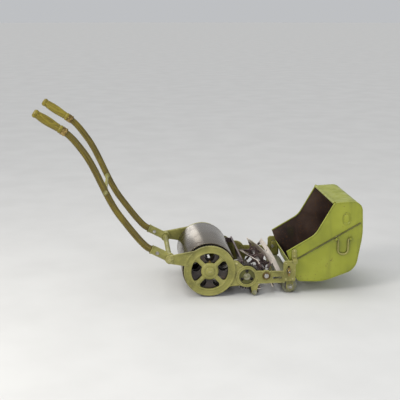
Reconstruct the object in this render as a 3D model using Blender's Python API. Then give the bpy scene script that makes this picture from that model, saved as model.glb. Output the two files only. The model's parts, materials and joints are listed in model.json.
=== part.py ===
"""Victorian reel mower with a rear roller, a gear-driven cutting reel, a front roller and a grass box.

Metres, +Z up, +X forward towards the grass box. The origin is on the ground under the middle of the mower.
Positions in the functions are measured from the roller axle along X and from the ground along Z.
The right side, with the gears, is on -Y.
"""
import math

import bmesh
import bpy
from mathutils import Matrix, Vector
from mathutils.geometry import interpolate_bezier

# ---- General ----
GAP = 0.0003                     # left between pieces that touch
AXLE_X = 0.0286                  # roller axle, in front of the middle of the whole mower

# ---- Rear roller ----
ROLLER_SIDES = 64                # facets around the shell
ROLLER_RADIUS = 0.131
ROLLER_WALL = 0.006
ROLLER_HALF = 0.198
ROLLER_Z = ROLLER_RADIUS * math.cos(math.pi / ROLLER_SIDES)   # stands on one flat of the faceted shell
AXLE_RADIUS = 0.012
AXLE_HALF = 0.2355
DISC_SIDES = 24
DISC_Y = 0.183                   # middle of each end disc
DISC_THICK = 0.010
DISC_HUB_RADIUS = 0.030
DISC_WINDOW_RADIUS = 0.027
DISC_WINDOWS_AT = 0.078          # radius of the ring of windows

# ---- Gears ----
MODULE = 0.004
MAIN_TEETH = 60
IDLER_TEETH = 32
PINION_TEETH = 15
PRESSURE_ANGLE = math.radians(20)
BACKLASH = 0.0007
ADDENDUM = 0.9 * MODULE
DEDENDUM = 1.2 * MODULE
GEAR_Y0 = -0.218                 # outer face of all three gears
GEAR_Y1 = -0.206                 # inner face
MAIN_HUB_RADIUS = 0.028
MAIN_WINDOW_RADIUS = 0.026
MAIN_WINDOWS_AT = 0.070
PINION_HUB_RADIUS = 0.018
STUD_RADIUS = 0.010
STUD_FLANGE_RADIUS = 0.017
CARRIER_HUB_RADIUS = 0.016
CARRIER_WINDOW_RADIUS = 0.0085
CARRIER_WINDOWS_AT = 0.0265

# ---- Where the gear and reel axes are ----
IDLER_Z = 0.098
REEL_Z = 0.101
MAIN_TO_IDLER = MODULE * (MAIN_TEETH + IDLER_TEETH) / 2
IDLER_TO_REEL = MODULE * (IDLER_TEETH + PINION_TEETH) / 2
IDLER_X = math.sqrt(MAIN_TO_IDLER ** 2 - (ROLLER_Z - IDLER_Z) ** 2)
REEL_X = IDLER_X + math.sqrt(IDLER_TO_REEL ** 2 - (REEL_Z - IDLER_Z) ** 2)

# ---- Reel ----
REEL_RADIUS = 0.080
BLADE_INNER = 0.058
BLADE_THICK = 0.0045
BLADE_COUNT = 6
BLADE_TWIST = math.radians(55)
BLADE_STEPS = 18
REEL_HALF = 0.200
REEL_SHAFT_RADIUS = 0.011
SPIDER_HALF_SPREAD = 0.190       # from the middle of the reel to the outermost spiders
SPIDER_COUNT = 4
SPIDER_THICK = 0.006
SPIDER_HUB_RADIUS = 0.019
SPIDER_HUB_LENGTH = 0.018
SPIDER_NOTCH_RADIUS = 0.024      # depth of the star between two arms
SPIDER_ARM_HALF_ANGLE = 0.10     # radians, at the arm's tip
KNIFE_GAP = 0.0006               # between the reel's cutting circle and the bottom blade

# ---- Side frames: distances from the mower's middle plane ----
FRAME_OUTER = 0.232
FRAME_INNER = 0.220
PLATE_OUTER = 0.2305             # face of the thin parts of the casting
PLATE_INNER = 0.2205
BOSS_OUTER = 0.2335
BOSS_INNER = 0.2190
THROUGH = (-0.240, -0.210)       # a cutter this long passes right through the right-hand casting
RING_OUTER = 0.125
RING_INNER = 0.090
HUB_RADIUS = 0.037
SPOKE_WIDTH = 0.023
SPOKE_OUTER = 0.2290
SPOKE_INNER = 0.2210
SMALL_RING_OUTER = 0.052
SMALL_RING_INNER = 0.038
BAR_X = -0.192                   # rear cross bar
BAR_Z = 0.193
BAR_RADIUS = 0.013
BAR_END_RADIUS = 0.008
KNIFE_PIVOT_X = 0.218
KNIFE_PIVOT_Z = 0.0165
KNIFE_BOLT_RADIUS = 0.006
KNIFE_NUT_RADIUS = 0.011
BAR_NUT_RADIUS = 0.014
BUSH_RADIUS = 0.0165
BUSH_FLANGE_RADIUS = 0.020
SCREW_RADIUS = 0.0035
SCREW_HEAD_HALF = 0.0065
SCREW_Y = -0.2262
CAP_RADIUS = 0.023

# ---- Deflector plate ----
DEFLECTOR_HALF = 0.2035
DEFLECTOR_THICK = 0.0025
DEFLECTOR_CLEARANCE = 0.012      # from the reel's cutting circle to the plate
DEFLECTOR_TOP = (0.1629, 0.178)
DEFLECTOR_EDGE_RADIUS = 0.005
DEFLECTOR_BOSS_RADIUS = 0.007
DEFLECTOR_BOSS_X = 0.130
DEFLECTOR_BOSS_Z = 0.164

# ---- Front roller and its brackets ----
FRONT_SIDES = 32
FRONT_RADIUS = 0.036
FRONT_X = 0.395
FRONT_Z = FRONT_RADIUS * math.cos(math.pi / FRONT_SIDES)
FRONT_HALF = 0.205
SPINDLE_RADIUS = 0.008
SPINDLE_NUT_RADIUS = 0.0135
BRACKET_OUTER = 0.2197
BRACKET_INNER = 0.2117
BRACKET_BOSS_RADIUS = 0.0195
CLAMP_X = 0.385
CLAMP_Z = 0.120
CLAMP_RADIUS = 0.004
CLAMP_HEAD_RADIUS = 0.010
WING_BOSS_RADIUS = 0.0095
HORN_TOP = 0.171

# ---- Handles ----
HANDLE_RADIUS = 0.0165
SOCKET_Y = 0.198
SOCKET_REACH = 0.100             # from the cross bar to the socket's mouth
SOCKET_START = 0.016             # from the cross bar to the back of the cup
SOCKET_RADIUS = 0.0205
EYE_RADIUS = 0.0235
EYE_HALF = 0.016
FOOT_DIRECTION = Vector((-0.885, 0, 0.465)).normalized()
FOOT_START = 0.031               # from the cross bar to the handle's end inside the socket
STRETCH_POINTS = 9               # points on each curved stretch of the handle
STAY_INDEX = 12                  # which of the handle's points the cross stay joins
STAY_RADIUS = 0.0075
STAY_COLLAR_RADIUS = 0.013
GRIP_LENGTH = 0.150

# ---- Grass box ----
BOX_HALF = 0.205
PANEL_THICK = 0.002
SHEET_THICK = 0.002
BOX_HANDLE_X = 0.655
BOX_HANDLE_Z = 0.268
BOX_HANDLE_Y = 0.2102
BOX_HANDLE_ROD = 0.004
BOX_EYE_X = 0.035                # from the middle of the drop handle to each eye
LIP_ROD_RADIUS = 0.006

# name: (red, green, blue), roughness, metallic
MATERIALS = {
    "green_iron": ((0.300, 0.310, 0.085), 0.45, 0.1),
    "box_green": ((0.330, 0.360, 0.050), 0.42, 0.1),
    "handle_wood": ((0.140, 0.105, 0.030), 0.55, 0.0),
    "grip_wood": ((0.220, 0.170, 0.060), 0.50, 0.0),
    "roller_steel": ((0.420, 0.390, 0.390), 0.25, 1.0),
    "blade_steel": ((0.600, 0.540, 0.500), 0.30, 1.0),
    "dark_iron": ((0.060, 0.055, 0.050), 0.60, 0.6),
    "shaft_steel": ((0.450, 0.440, 0.420), 0.35, 1.0),
    "brass": ((0.600, 0.420, 0.150), 0.35, 1.0),
    "roller_wood": ((0.240, 0.260, 0.170), 0.60, 0.0),
}


# ---------------------------------------------------------------- building blocks

def clear_scene():
    for item in list(bpy.data.objects):
        bpy.data.objects.remove(item)


def make_materials():
    made = {}
    for name, (colour, roughness, metallic) in MATERIALS.items():
        material = bpy.data.materials.new(name)
        material.use_nodes = True
        shader = material.node_tree.nodes["Principled BSDF"]
        shader.inputs["Base Color"].default_value = (*colour, 1.0)
        shader.inputs["Roughness"].default_value = roughness
        shader.inputs["Metallic"].default_value = metallic
        made[name] = material
    return made


def empty(name, location, parent=None):
    """An empty on a joint's axis, which its moving pieces are parented to."""
    item = bpy.data.objects.new(name, None)
    item.location = location
    item.parent = parent
    bpy.context.collection.objects.link(item)
    return item


def object_from(bm, name="tool"):
    bmesh.ops.recalc_face_normals(bm, faces=bm.faces)
    mesh = bpy.data.meshes.new(name)
    bm.to_mesh(mesh)
    bm.free()
    item = bpy.data.objects.new(name, mesh)
    bpy.context.collection.objects.link(item)
    return item


def prism(outline, y0, y1):
    """A solid with an outline in X and Z, extruded along Y from y0 to y1."""
    bm = bmesh.new()
    near = [bm.verts.new((x, y0, z)) for x, z in outline]
    face = bm.faces.new(near)
    grown = bmesh.ops.extrude_face_region(bm, geom=[face])["geom"]
    moved = [item for item in grown if isinstance(item, bmesh.types.BMVert)]
    bmesh.ops.translate(bm, vec=(0, y1 - y0, 0), verts=moved)
    return object_from(bm)


def circle(radius, sides, x=0.0, z=0.0):
    """Points on a circle in X and Z, with a flat at the bottom."""
    start = -math.pi / 2 + math.pi / sides
    angles = [start + 2 * math.pi * k / sides for k in range(sides)]
    return [(x + radius * math.cos(a), z + radius * math.sin(a)) for a in angles]


def rod(radius, y0, y1, x=0.0, z=0.0, sides=16):
    return prism(circle(radius, sides, x, z), y0, y1)


def turned(profile, sides, x=0.0, z=0.0):
    """A solid turned about an axis along Y from points (radius, y). Radius 0 ends it on the axis,
    and a profile that never meets the axis is closed into a ring."""
    bm = bmesh.new()
    rings = []
    for radius, y in profile:
        if radius == 0:
            rings.append([bm.verts.new((x, y, z))])
        else:
            rings.append([bm.verts.new((px, y, pz)) for px, pz in circle(radius, sides, x, z)])
    closed = all(radius > 0 for radius, _ in profile)
    pairs = list(zip(rings, rings[1:] + rings[:1])) if closed else list(zip(rings, rings[1:]))
    for one, other in pairs:
        for k in range(sides):
            n = (k + 1) % sides
            corners = [one[k % len(one)], one[n % len(one)], other[n % len(other)], other[k % len(other)]]
            bm.faces.new(list(dict.fromkeys(corners)))
    return object_from(bm)


def upright_rod(radius, z0, z1, x, y, sides=10):
    """A rod that stands along Z."""
    item = rod(radius, z0, z1, 0, 0, sides)
    return reshape(item, Matrix.Translation((x, y, 0)) @ Matrix.Rotation(math.pi / 2, 4, "X"))


def block(x0, x1, y0, y1, z0, z1):
    return prism([(x0, z0), (x1, z0), (x1, z1), (x0, z1)], y0, y1)


def hexagon(radius, y0, y1, x=0.0, z=0.0):
    return prism(circle(radius, 6, x, z), y0, y1)


def combine(base, tools, operation):
    """Boolean each tool into base, one after another, and remove the tools."""
    for tool in tools:
        step = base.modifiers.new("step", "BOOLEAN")
        step.operation = operation
        step.object = tool
        graph = bpy.context.evaluated_depsgraph_get()
        mesh = bpy.data.meshes.new_from_object(base.evaluated_get(graph))
        base.modifiers.clear()
        base.data = mesh
        bpy.data.objects.remove(tool)
    return base


def unite(base, *tools):
    return combine(base, tools, "UNION")


def cut(base, *tools):
    return combine(base, tools, "DIFFERENCE")


def reshape(item, matrix):
    item.data.transform(matrix)
    if matrix.determinant() < 0:
        item.data.flip_normals()
    return item


def mirrored(item):
    """The other side's copy of a piece, mirrored across the middle of the mower."""
    copy = bpy.data.objects.new("copy", item.data.copy())
    bpy.context.collection.objects.link(copy)
    return reshape(copy, Matrix.Scale(-1, 4, Vector((0, 1, 0))))


def finish(item, name, material, parent):
    """Name a piece, give it its material and hang it on its body's empty."""
    item.name = name
    item.data.name = name
    item.data.materials.clear()
    item.data.materials.append(MADE[material])
    item.data.shade_smooth()
    item.data.set_sharp_from_angle(angle=math.radians(30))
    item.parent = parent
    return item


def finish_pair(item, name, material, parent_right, parent_left=None):
    """Finish a right-hand piece and its mirrored left-hand twin."""
    twin = mirrored(item)
    finish(item, name + "_right", material, parent_right)
    finish(twin, name + "_left", material, parent_left or parent_right)


def rounded(corners, closed=True, step=math.radians(15)):
    """An outline through corners (x, z, radius), each rounded by an arc of its radius."""
    points = []
    last = len(corners) - 1
    for index, (x, z, radius) in enumerate(corners):
        here = Vector((x, z))
        if radius == 0 or (not closed and index in (0, last)):
            points.append((x, z))
            continue
        back = (Vector(corners[index - 1][:2]) - here).normalized()
        ahead = (Vector(corners[(index + 1) % len(corners)][:2]) - here).normalized()
        half = back.angle(ahead) / 2
        start = here + back * radius / math.tan(half)
        end = here + ahead * radius / math.tan(half)
        centre = here + (back + ahead).normalized() * radius / math.sin(half)
        angle = math.atan2(start.y - centre.y, start.x - centre.x)
        turn = math.atan2(end.y - centre.y, end.x - centre.x) - angle
        turn = (turn + math.pi) % (2 * math.pi) - math.pi
        count = max(1, math.ceil(abs(turn) / step))
        for k in range(count + 1):
            a = angle + turn * k / count
            points.append((centre.x + radius * math.cos(a), centre.y + radius * math.sin(a)))
    return points


def thickened(line, thickness):
    """A closed outline around an open line, grown to its left by the thickness."""
    inner = []
    for index, point in enumerate(line):
        before = Vector(line[max(index - 1, 0)])
        after = Vector(line[min(index + 1, len(line) - 1)])
        along = (after - before).normalized()
        inner.append((point[0] - along.y * thickness, point[1] + along.x * thickness))
    return list(line) + inner[::-1]


# ---------------------------------------------------------------- gears

def involute(angle):
    return math.tan(angle) - angle


def gear_outline(teeth, phase):
    """Spur gear outline with a tooth centred on the angle phase, from +X towards +Z."""
    pitch = MODULE * teeth / 2
    base = pitch * math.cos(PRESSURE_ANGLE)
    tip = pitch + ADDENDUM
    root = pitch - DEDENDUM
    half_at_pitch = (math.pi * MODULE / 2 - BACKLASH) / (2 * pitch)

    def half_angle(radius):
        roll = math.acos(min(1.0, base / max(radius, base)))
        return half_at_pitch + involute(PRESSURE_ANGLE) - involute(roll)

    flank = [(root, half_angle(root)), (tip, half_angle(tip))]
    if base > root:
        flank.insert(1, (base, half_angle(base)))
    points = []
    for tooth in range(teeth):
        middle = phase + 2 * math.pi * tooth / teeth
        for radius, half in flank:
            points.append((radius * math.cos(middle - half), radius * math.sin(middle - half)))
        for radius, half in reversed(flank):
            points.append((radius * math.cos(middle + half), radius * math.sin(middle + half)))
    return points


def gear_phases():
    """Angles of one tooth of the main gear, idler and pinion that put them in mesh at rest."""
    to_idler = math.atan2(IDLER_Z - ROLLER_Z, IDLER_X)
    to_reel = math.atan2(REEL_Z - IDLER_Z, REEL_X - IDLER_X)
    idler = to_idler + math.pi + math.pi / IDLER_TEETH
    along_pitch = (to_reel - idler) * IDLER_TEETH / PINION_TEETH
    pinion = to_reel + math.pi + along_pitch + math.pi / PINION_TEETH
    return to_idler, idler, pinion


def round_windows(count, at_radius, radius, y0, y1, sides=10):
    """Cutters for a ring of round windows."""
    windows = []
    for k in range(count):
        angle = 2 * math.pi * k / count + math.pi / 2
        windows.append(rod(radius, y0, y1, at_radius * math.cos(angle), at_radius * math.sin(angle), sides))
    return windows


# ---------------------------------------------------------------- side frames

def spokes():
    """Four diagonal spokes across the big ring, as two crossed bars."""
    reach = (RING_OUTER + RING_INNER) / 2 - 0.003
    bars = []
    for index, tilt in enumerate((math.pi / 4, -math.pi / 4)):
        outline = [(-reach, -SPOKE_WIDTH / 2), (reach, -SPOKE_WIDTH / 2),
                   (reach, SPOKE_WIDTH / 2), (-reach, SPOKE_WIDTH / 2)]
        turned_outline = [(x * math.cos(tilt) - z * math.sin(tilt),
                           ROLLER_Z + x * math.sin(tilt) + z * math.cos(tilt)) for x, z in outline]
        step = 0.0004 * index
        bars.append(prism(turned_outline, -SPOKE_OUTER - step, -SPOKE_INNER + step))
    return bars


def side_frame():
    """The right-hand casting: spoked ring, gear ring, slotted arm, horn, rear ear and knife lug."""
    ring = turned([(RING_OUTER, -FRAME_OUTER), (RING_OUTER, -FRAME_INNER),
                   (RING_INNER, -FRAME_INNER), (RING_INNER, -FRAME_OUTER)], 40, 0, ROLLER_Z)
    web = prism([(0.088, 0.190), (0.136, 0.174), (0.178, 0.147), (0.178, 0.050), (0.096, 0.052),
                 (0.1035, 0.100), (0.1035, 0.160)], -0.2280, -PLATE_INNER)
    arm = prism([(0.212, 0.061), (0.368, 0.063), (0.368, 0.120), (0.212, 0.124)],
                -PLATE_OUTER, -PLATE_INNER + 0.0002)
    screw_seat = block(REEL_X - 0.012, REEL_X + 0.012, -0.2340, -0.2195, 0.112, 0.1285)
    horn = prism(rounded([(0.359, 0.068, 0.006), (0.419, 0.068, 0.006),
                          (0.419, HORN_TOP, 0.012), (0.359, HORN_TOP, 0.012)], step=math.radians(30)),
                 -0.2315, -FRAME_INNER)
    ear = prism([(-0.066, 0.232), (-0.112, 0.160), (-0.184, 0.173), (-0.204, 0.212)],
                -PLATE_OUTER - 0.0005, -PLATE_INNER - 0.0003)
    lug = prism([(0.196, 0.070), (0.240, 0.070), (0.230, 0.0145), (0.206, 0.0145)],
                -PLATE_OUTER - 0.0007, -PLATE_INNER - 0.0001)
    frame = unite(
        ring, *spokes(), web,
        rod(HUB_RADIUS, -0.2360, -0.2185, 0, ROLLER_Z, 20),
        rod(SMALL_RING_OUTER, -0.2330, -0.2195, IDLER_X, IDLER_Z, 28),
        arm, screw_seat, horn, ear, lug,
        rod(0.022, -BOSS_OUTER, -BOSS_INNER, REEL_X, REEL_Z),
        rod(0.021, -BOSS_OUTER - 0.0002, -BOSS_INNER - 0.0003, BAR_X, BAR_Z),
        rod(0.0125, -0.2322, -0.2202, KNIFE_PIVOT_X, KNIFE_PIVOT_Z, 14),
        rod(DEFLECTOR_BOSS_RADIUS, -0.2285, -DEFLECTOR_HALF - GAP, DEFLECTOR_BOSS_X, DEFLECTOR_BOSS_Z, 10))
    arm_slot = [(0.306, 0.083, 0.0045), (0.352, 0.083, 0.0045),
                (0.352, 0.093, 0.0045), (0.306, 0.093, 0.0045)]
    return cut(
        frame,
        rod(AXLE_RADIUS + GAP, *THROUGH, 0, ROLLER_Z),
        rod(SMALL_RING_INNER, *THROUGH, IDLER_X, IDLER_Z, 24),
        rod(BUSH_RADIUS + GAP, *THROUGH, REEL_X, REEL_Z),
        rod(BAR_END_RADIUS + GAP, *THROUGH, BAR_X, BAR_Z),
        rod(KNIFE_BOLT_RADIUS + GAP, *THROUGH, KNIFE_PIVOT_X, KNIFE_PIVOT_Z),
        prism(rounded(arm_slot, step=math.radians(45)), *THROUGH),
        block(CLAMP_X - CLAMP_RADIUS - GAP, CLAMP_X + CLAMP_RADIUS + GAP, *THROUGH, 0.094, 0.146),
        upright_rod(SCREW_RADIUS + GAP, 0.1195, 0.135, REEL_X, SCREW_Y))


def deflector():
    """Curved plate behind the reel, with a rolled upper edge and a flange at each end."""
    around = REEL_RADIUS + DEFLECTOR_CLEARANCE
    line = []
    for degrees in range(222, 180, -6):
        angle = math.radians(degrees)
        line.append((REEL_X + around * math.cos(angle), REEL_Z + around * math.sin(angle)))
    line += [(0.1775, 0.128), DEFLECTOR_TOP]
    plate = prism(thickened(line, DEFLECTOR_THICK), -DEFLECTOR_HALF, DEFLECTOR_HALF)
    edge_x = DEFLECTOR_TOP[0] - 0.0020
    edge_z = DEFLECTOR_TOP[1] + 0.0015
    flange = [(0.121, 0.152), (0.171, 0.145), (0.163, 0.174), (0.121, 0.176)]
    return unite(
        plate,
        rod(DEFLECTOR_EDGE_RADIUS, -DEFLECTOR_HALF + 0.0002, DEFLECTOR_HALF - 0.0002, edge_x, edge_z, 12),
        prism(flange, -DEFLECTOR_HALF - 0.0001, -DEFLECTOR_HALF + 0.002),
        prism(flange, DEFLECTOR_HALF - 0.002, DEFLECTOR_HALF + 0.0001))


def cross_bar():
    """Round bar between the rear ears, necked down through them and closed by a nut at each end."""
    end = 0.2445
    shoulder = BOSS_INNER
    bar = turned([(0, -end), (BAR_END_RADIUS, -end), (BAR_END_RADIUS, -shoulder), (BAR_RADIUS, -shoulder),
                  (BAR_RADIUS, shoulder), (BAR_END_RADIUS, shoulder), (BAR_END_RADIUS, end), (0, end)],
                 16, BAR_X, BAR_Z)
    return unite(bar,
                 hexagon(BAR_NUT_RADIUS, -0.2420, -0.2340, BAR_X, BAR_Z),
                 hexagon(BAR_NUT_RADIUS, 0.2340, 0.2420, BAR_X, BAR_Z))


def build_frame(parent):
    finish_pair(side_frame(), "side_frame", "green_iron", parent)
    finish(cross_bar(), "rear_cross_bar", "green_iron", parent)
    finish(deflector(), "deflector_plate", "dark_iron", parent)

    cap = turned([(0, -0.2440), (0.012, -0.2435), (0.020, -0.2405), (CAP_RADIUS, -0.2363), (0, -0.2363)],
                 20, 0, ROLLER_Z)
    finish_pair(cap, "roller_cap", "green_iron", parent)

    cover = turned([(0, 0.2285), (0.030, 0.2280), (SMALL_RING_INNER - 2 * GAP, 0.2255),
                    (SMALL_RING_INNER - 2 * GAP, 0.2215), (0, 0.2215)], 24, IDLER_X, IDLER_Z)
    finish(cover, "ring_cover_left", "green_iron", parent)

    carrier = unite(rod(SMALL_RING_INNER - 2 * GAP, -0.2270, -0.2215, IDLER_X, IDLER_Z, 24),
                    rod(CARRIER_HUB_RADIUS, -0.2290, -0.2205, IDLER_X, IDLER_Z))
    windows = round_windows(3, CARRIER_WINDOWS_AT, CARRIER_WINDOW_RADIUS, *THROUGH)
    for window in windows:
        carrier = cut(carrier, reshape(window, Matrix.Translation((IDLER_X, 0, IDLER_Z))))
    carrier = cut(carrier, rod(STUD_RADIUS + GAP, *THROUGH, IDLER_X, IDLER_Z))
    finish(carrier, "idler_carrier", "dark_iron", parent)

    flange_y = -0.2057
    stud = turned([(0, -0.2385), (STUD_RADIUS, -0.2385), (STUD_RADIUS, flange_y),
                   (STUD_FLANGE_RADIUS, flange_y), (STUD_FLANGE_RADIUS, flange_y + 0.002),
                   (0, flange_y + 0.002)], 16, IDLER_X, IDLER_Z)
    stud = unite(stud, hexagon(0.0155, -0.2365, -0.2293, IDLER_X, IDLER_Z))
    finish(stud, "idler_stud", "shaft_steel", parent)

    bore = REEL_SHAFT_RADIUS + GAP
    flange_y = -0.2343
    bush = turned([(BUSH_RADIUS, -BOSS_INNER), (BUSH_RADIUS, flange_y), (BUSH_FLANGE_RADIUS, flange_y),
                   (BUSH_FLANGE_RADIUS, -0.2385), (bore, -0.2385), (bore, -BOSS_INNER)], 16, REEL_X, REEL_Z)
    finish_pair(bush, "reel_bearing", "brass", parent)

    screw = unite(upright_rod(SCREW_RADIUS, 0.1200, 0.1300, REEL_X, SCREW_Y),
                  block(REEL_X - SCREW_HEAD_HALF, REEL_X + SCREW_HEAD_HALF,
                        SCREW_Y - SCREW_HEAD_HALF, SCREW_Y + SCREW_HEAD_HALF, 0.1288, 0.1375))
    finish_pair(screw, "bearing_set_screw", "shaft_steel", parent)

    bolt = unite(rod(KNIFE_BOLT_RADIUS, -0.2340, -0.2000, KNIFE_PIVOT_X, KNIFE_PIVOT_Z),
                 hexagon(KNIFE_NUT_RADIUS, -0.2390, -0.2325, KNIFE_PIVOT_X, KNIFE_PIVOT_Z))
    finish_pair(bolt, "knife_pivot_bolt", "shaft_steel", parent)


# ---------------------------------------------------------------- rear roller and gears

def build_roller(parent):
    """Pieces are built around the axle's own line, on which their empty sits."""
    shell = turned([(ROLLER_RADIUS, -ROLLER_HALF), (ROLLER_RADIUS, ROLLER_HALF),
                    (ROLLER_RADIUS - ROLLER_WALL, ROLLER_HALF), (ROLLER_RADIUS - ROLLER_WALL, -ROLLER_HALF)],
                   ROLLER_SIDES)
    finish(shell, "roller_shell", "roller_steel", parent)

    disc = unite(rod(ROLLER_RADIUS - ROLLER_WALL - GAP, -DISC_Y - DISC_THICK / 2, -DISC_Y + DISC_THICK / 2,
                     sides=DISC_SIDES),
                 rod(DISC_HUB_RADIUS, -0.1900, -0.1720))
    disc = cut(disc, rod(AXLE_RADIUS + GAP, -0.20, -0.16),
               *round_windows(5, DISC_WINDOWS_AT, DISC_WINDOW_RADIUS, -0.20, -0.16))
    finish_pair(disc, "roller_end_disc", "dark_iron", parent)

    axle = rod(AXLE_RADIUS, -AXLE_HALF, AXLE_HALF)
    finish(axle, "roller_axle", "shaft_steel", parent)

    main_phase, _, _ = gear_phases()
    gear = unite(prism(gear_outline(MAIN_TEETH, main_phase), GEAR_Y0, GEAR_Y1),
                 rod(MAIN_HUB_RADIUS, -0.2175, -0.1903))
    gear = cut(gear, rod(AXLE_RADIUS + GAP, -0.22, -0.18),
               *round_windows(5, MAIN_WINDOWS_AT, MAIN_WINDOW_RADIUS, -0.22, -0.19))
    finish(gear, "main_gear", "dark_iron", parent)


def build_idler(parent):
    _, idler_phase, _ = gear_phases()
    gear = prism(gear_outline(IDLER_TEETH, idler_phase), GEAR_Y0, GEAR_Y1)
    gear = cut(gear, rod(STUD_RADIUS + GAP, -0.22, -0.20))
    finish(gear, "idler_gear", "dark_iron", parent)


# ---------------------------------------------------------------- reel

def blade_angle(y, blade):
    """Angle of a blade's middle at a place along the reel."""
    return 2 * math.pi * blade / BLADE_COUNT + BLADE_TWIST * (y + REEL_HALF) / (2 * REEL_HALF)


def reel_blade(blade):
    """One steel blade, twisted about the reel's axis."""
    bm = bmesh.new()
    sections = []
    for step in range(BLADE_STEPS + 1):
        y = -REEL_HALF + 2 * REEL_HALF * step / BLADE_STEPS
        middle = blade_angle(y, blade)
        section = []
        for radius, side in ((BLADE_INNER, -1), (REEL_RADIUS, -1), (REEL_RADIUS, 1), (BLADE_INNER, 1)):
            angle = middle + side * math.asin(BLADE_THICK / 2 / radius)
            section.append(bm.verts.new((radius * math.cos(angle), y, radius * math.sin(angle))))
        sections.append(section)
    for one, other in zip(sections, sections[1:]):
        for k in range(4):
            n = (k + 1) % 4
            bm.faces.new((one[k], one[n], other[n], other[k]))
    bm.faces.new(sections[0])
    bm.faces.new(sections[-1])
    bmesh.ops.triangulate(bm, faces=bm.faces)
    return object_from(bm)


def reel_spider(y):
    """A star-shaped plate whose arms reach the blades, on a hub around the shaft."""
    tip = BLADE_INNER - 2 * GAP
    outline = []
    for blade in range(BLADE_COUNT):
        middle = blade_angle(y, blade)
        for radius, angle in ((tip, -SPIDER_ARM_HALF_ANGLE), (tip, SPIDER_ARM_HALF_ANGLE),
                              (SPIDER_NOTCH_RADIUS, math.pi / BLADE_COUNT)):
            outline.append((radius * math.cos(middle + angle), radius * math.sin(middle + angle)))
    plate = unite(prism(outline, y - SPIDER_THICK / 2, y + SPIDER_THICK / 2),
                  rod(SPIDER_HUB_RADIUS, y - SPIDER_HUB_LENGTH / 2, y + SPIDER_HUB_LENGTH / 2))
    return cut(plate, rod(REEL_SHAFT_RADIUS + GAP, y - 0.02, y + 0.02))


def build_reel(parent):
    """Pieces are built around the reel shaft's own line, on which their empty sits."""
    finish(rod(REEL_SHAFT_RADIUS, -0.2405, 0.2405), "reel_shaft", "shaft_steel", parent)
    for blade in range(BLADE_COUNT):
        finish(reel_blade(blade), f"reel_blade_{blade + 1}", "blade_steel", parent)
    for index in range(SPIDER_COUNT):
        y = SPIDER_HALF_SPREAD * (2 * index / (SPIDER_COUNT - 1) - 1)
        finish(reel_spider(y), f"reel_spider_{index + 1}", "dark_iron", parent)

    _, _, pinion_phase = gear_phases()
    pinion = unite(prism(gear_outline(PINION_TEETH, pinion_phase), GEAR_Y0, GEAR_Y1),
                   rod(PINION_HUB_RADIUS, -0.2175, -0.2015))
    pinion = cut(pinion, rod(REEL_SHAFT_RADIUS + GAP, -0.22, -0.19))
    finish(pinion, "reel_pinion", "dark_iron", parent)


# ---------------------------------------------------------------- knife bar

def build_knife_bar(parent):
    """Pieces are built around the pivot bolts' line: positions are measured from it."""
    bar_top = 0.0065
    bar_end = FRAME_INNER - 2 * GAP
    bar = prism([(-0.018, -0.0065), (0.021, -0.0065), (0.0215, bar_top), (-0.012, bar_top), (-0.018, 0.001)],
                -bar_end, bar_end)
    bar = cut(bar,
              rod(KNIFE_BOLT_RADIUS + GAP, -0.25, -0.198),
              rod(KNIFE_BOLT_RADIUS + GAP, 0.198, 0.25))
    finish(bar, "knife_bar", "dark_iron", parent)

    clear = REEL_RADIUS + KNIFE_GAP
    low = bar_top + GAP
    high = low + 0.004
    axis_x = REEL_X - KNIFE_PIVOT_X
    axis_z = REEL_Z - KNIFE_PIVOT_Z
    edge_low = axis_x - math.sqrt(clear ** 2 - (axis_z - low) ** 2)
    edge_high = axis_x - math.sqrt(clear ** 2 - (axis_z - high) ** 2)
    blade = prism([(-0.006, low), (edge_low, low), (edge_high, high), (-0.006, high)], -0.2010, 0.2010)
    finish(blade, "bottom_blade", "blade_steel", parent)


# ---------------------------------------------------------------- front roller

def build_front_carriage(parent):
    bracket = prism(rounded([(0.376, 0.146, 0.006), (0.377, 0.030, 0.010), (0.412, 0.030, 0.010),
                             (0.408, 0.146, 0.006)], step=math.radians(30)),
                    -BRACKET_OUTER, -BRACKET_INNER)
    bracket = unite(bracket, rod(BRACKET_BOSS_RADIUS, -BRACKET_OUTER + 0.0001, -BRACKET_INNER - 0.0001,
                                 FRONT_X, FRONT_Z, 20))
    bracket = cut(bracket,
                  rod(SPINDLE_RADIUS + GAP, -0.23, -0.20, FRONT_X, FRONT_Z),
                  rod(CLAMP_RADIUS + GAP, -0.23, -0.20, CLAMP_X, CLAMP_Z, 12))
    finish_pair(bracket, "front_bracket", "green_iron", parent)

    spindle = unite(rod(SPINDLE_RADIUS, -0.2290, 0.2290, FRONT_X, FRONT_Z),
                    hexagon(SPINDLE_NUT_RADIUS, -0.2270, -0.2200, FRONT_X, FRONT_Z),
                    hexagon(SPINDLE_NUT_RADIUS, 0.2200, 0.2270, FRONT_X, FRONT_Z))
    finish(spindle, "front_spindle", "shaft_steel", parent)

    bolt = unite(rod(CLAMP_RADIUS, -0.2500, -0.2080, CLAMP_X, CLAMP_Z, 12),
                 hexagon(CLAMP_HEAD_RADIUS, -0.2114, -0.2060, CLAMP_X, CLAMP_Z))
    finish_pair(bolt, "clamp_bolt", "shaft_steel", parent)


def build_wing_nuts(parent_right, parent_left):
    """Built around the clamp bolt's line, on which their empties sit."""
    wing = [(-0.0085, 0.004), (-0.0060, 0.020), (0.0, 0.0235), (0.0060, 0.020), (0.0085, 0.004),
            (0.0085, -0.004), (0.0060, -0.020), (0.0, -0.0235), (-0.0060, -0.020), (-0.0085, -0.004)]
    nut = unite(rod(WING_BOSS_RADIUS, -0.2450, -0.2320), prism(wing, -0.2435, -0.2385))
    nut = cut(nut, rod(CLAMP_RADIUS + GAP, -0.26, -0.22, sides=12))
    finish_pair(nut, "wing_nut", "brass", parent_right, parent_left)


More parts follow.
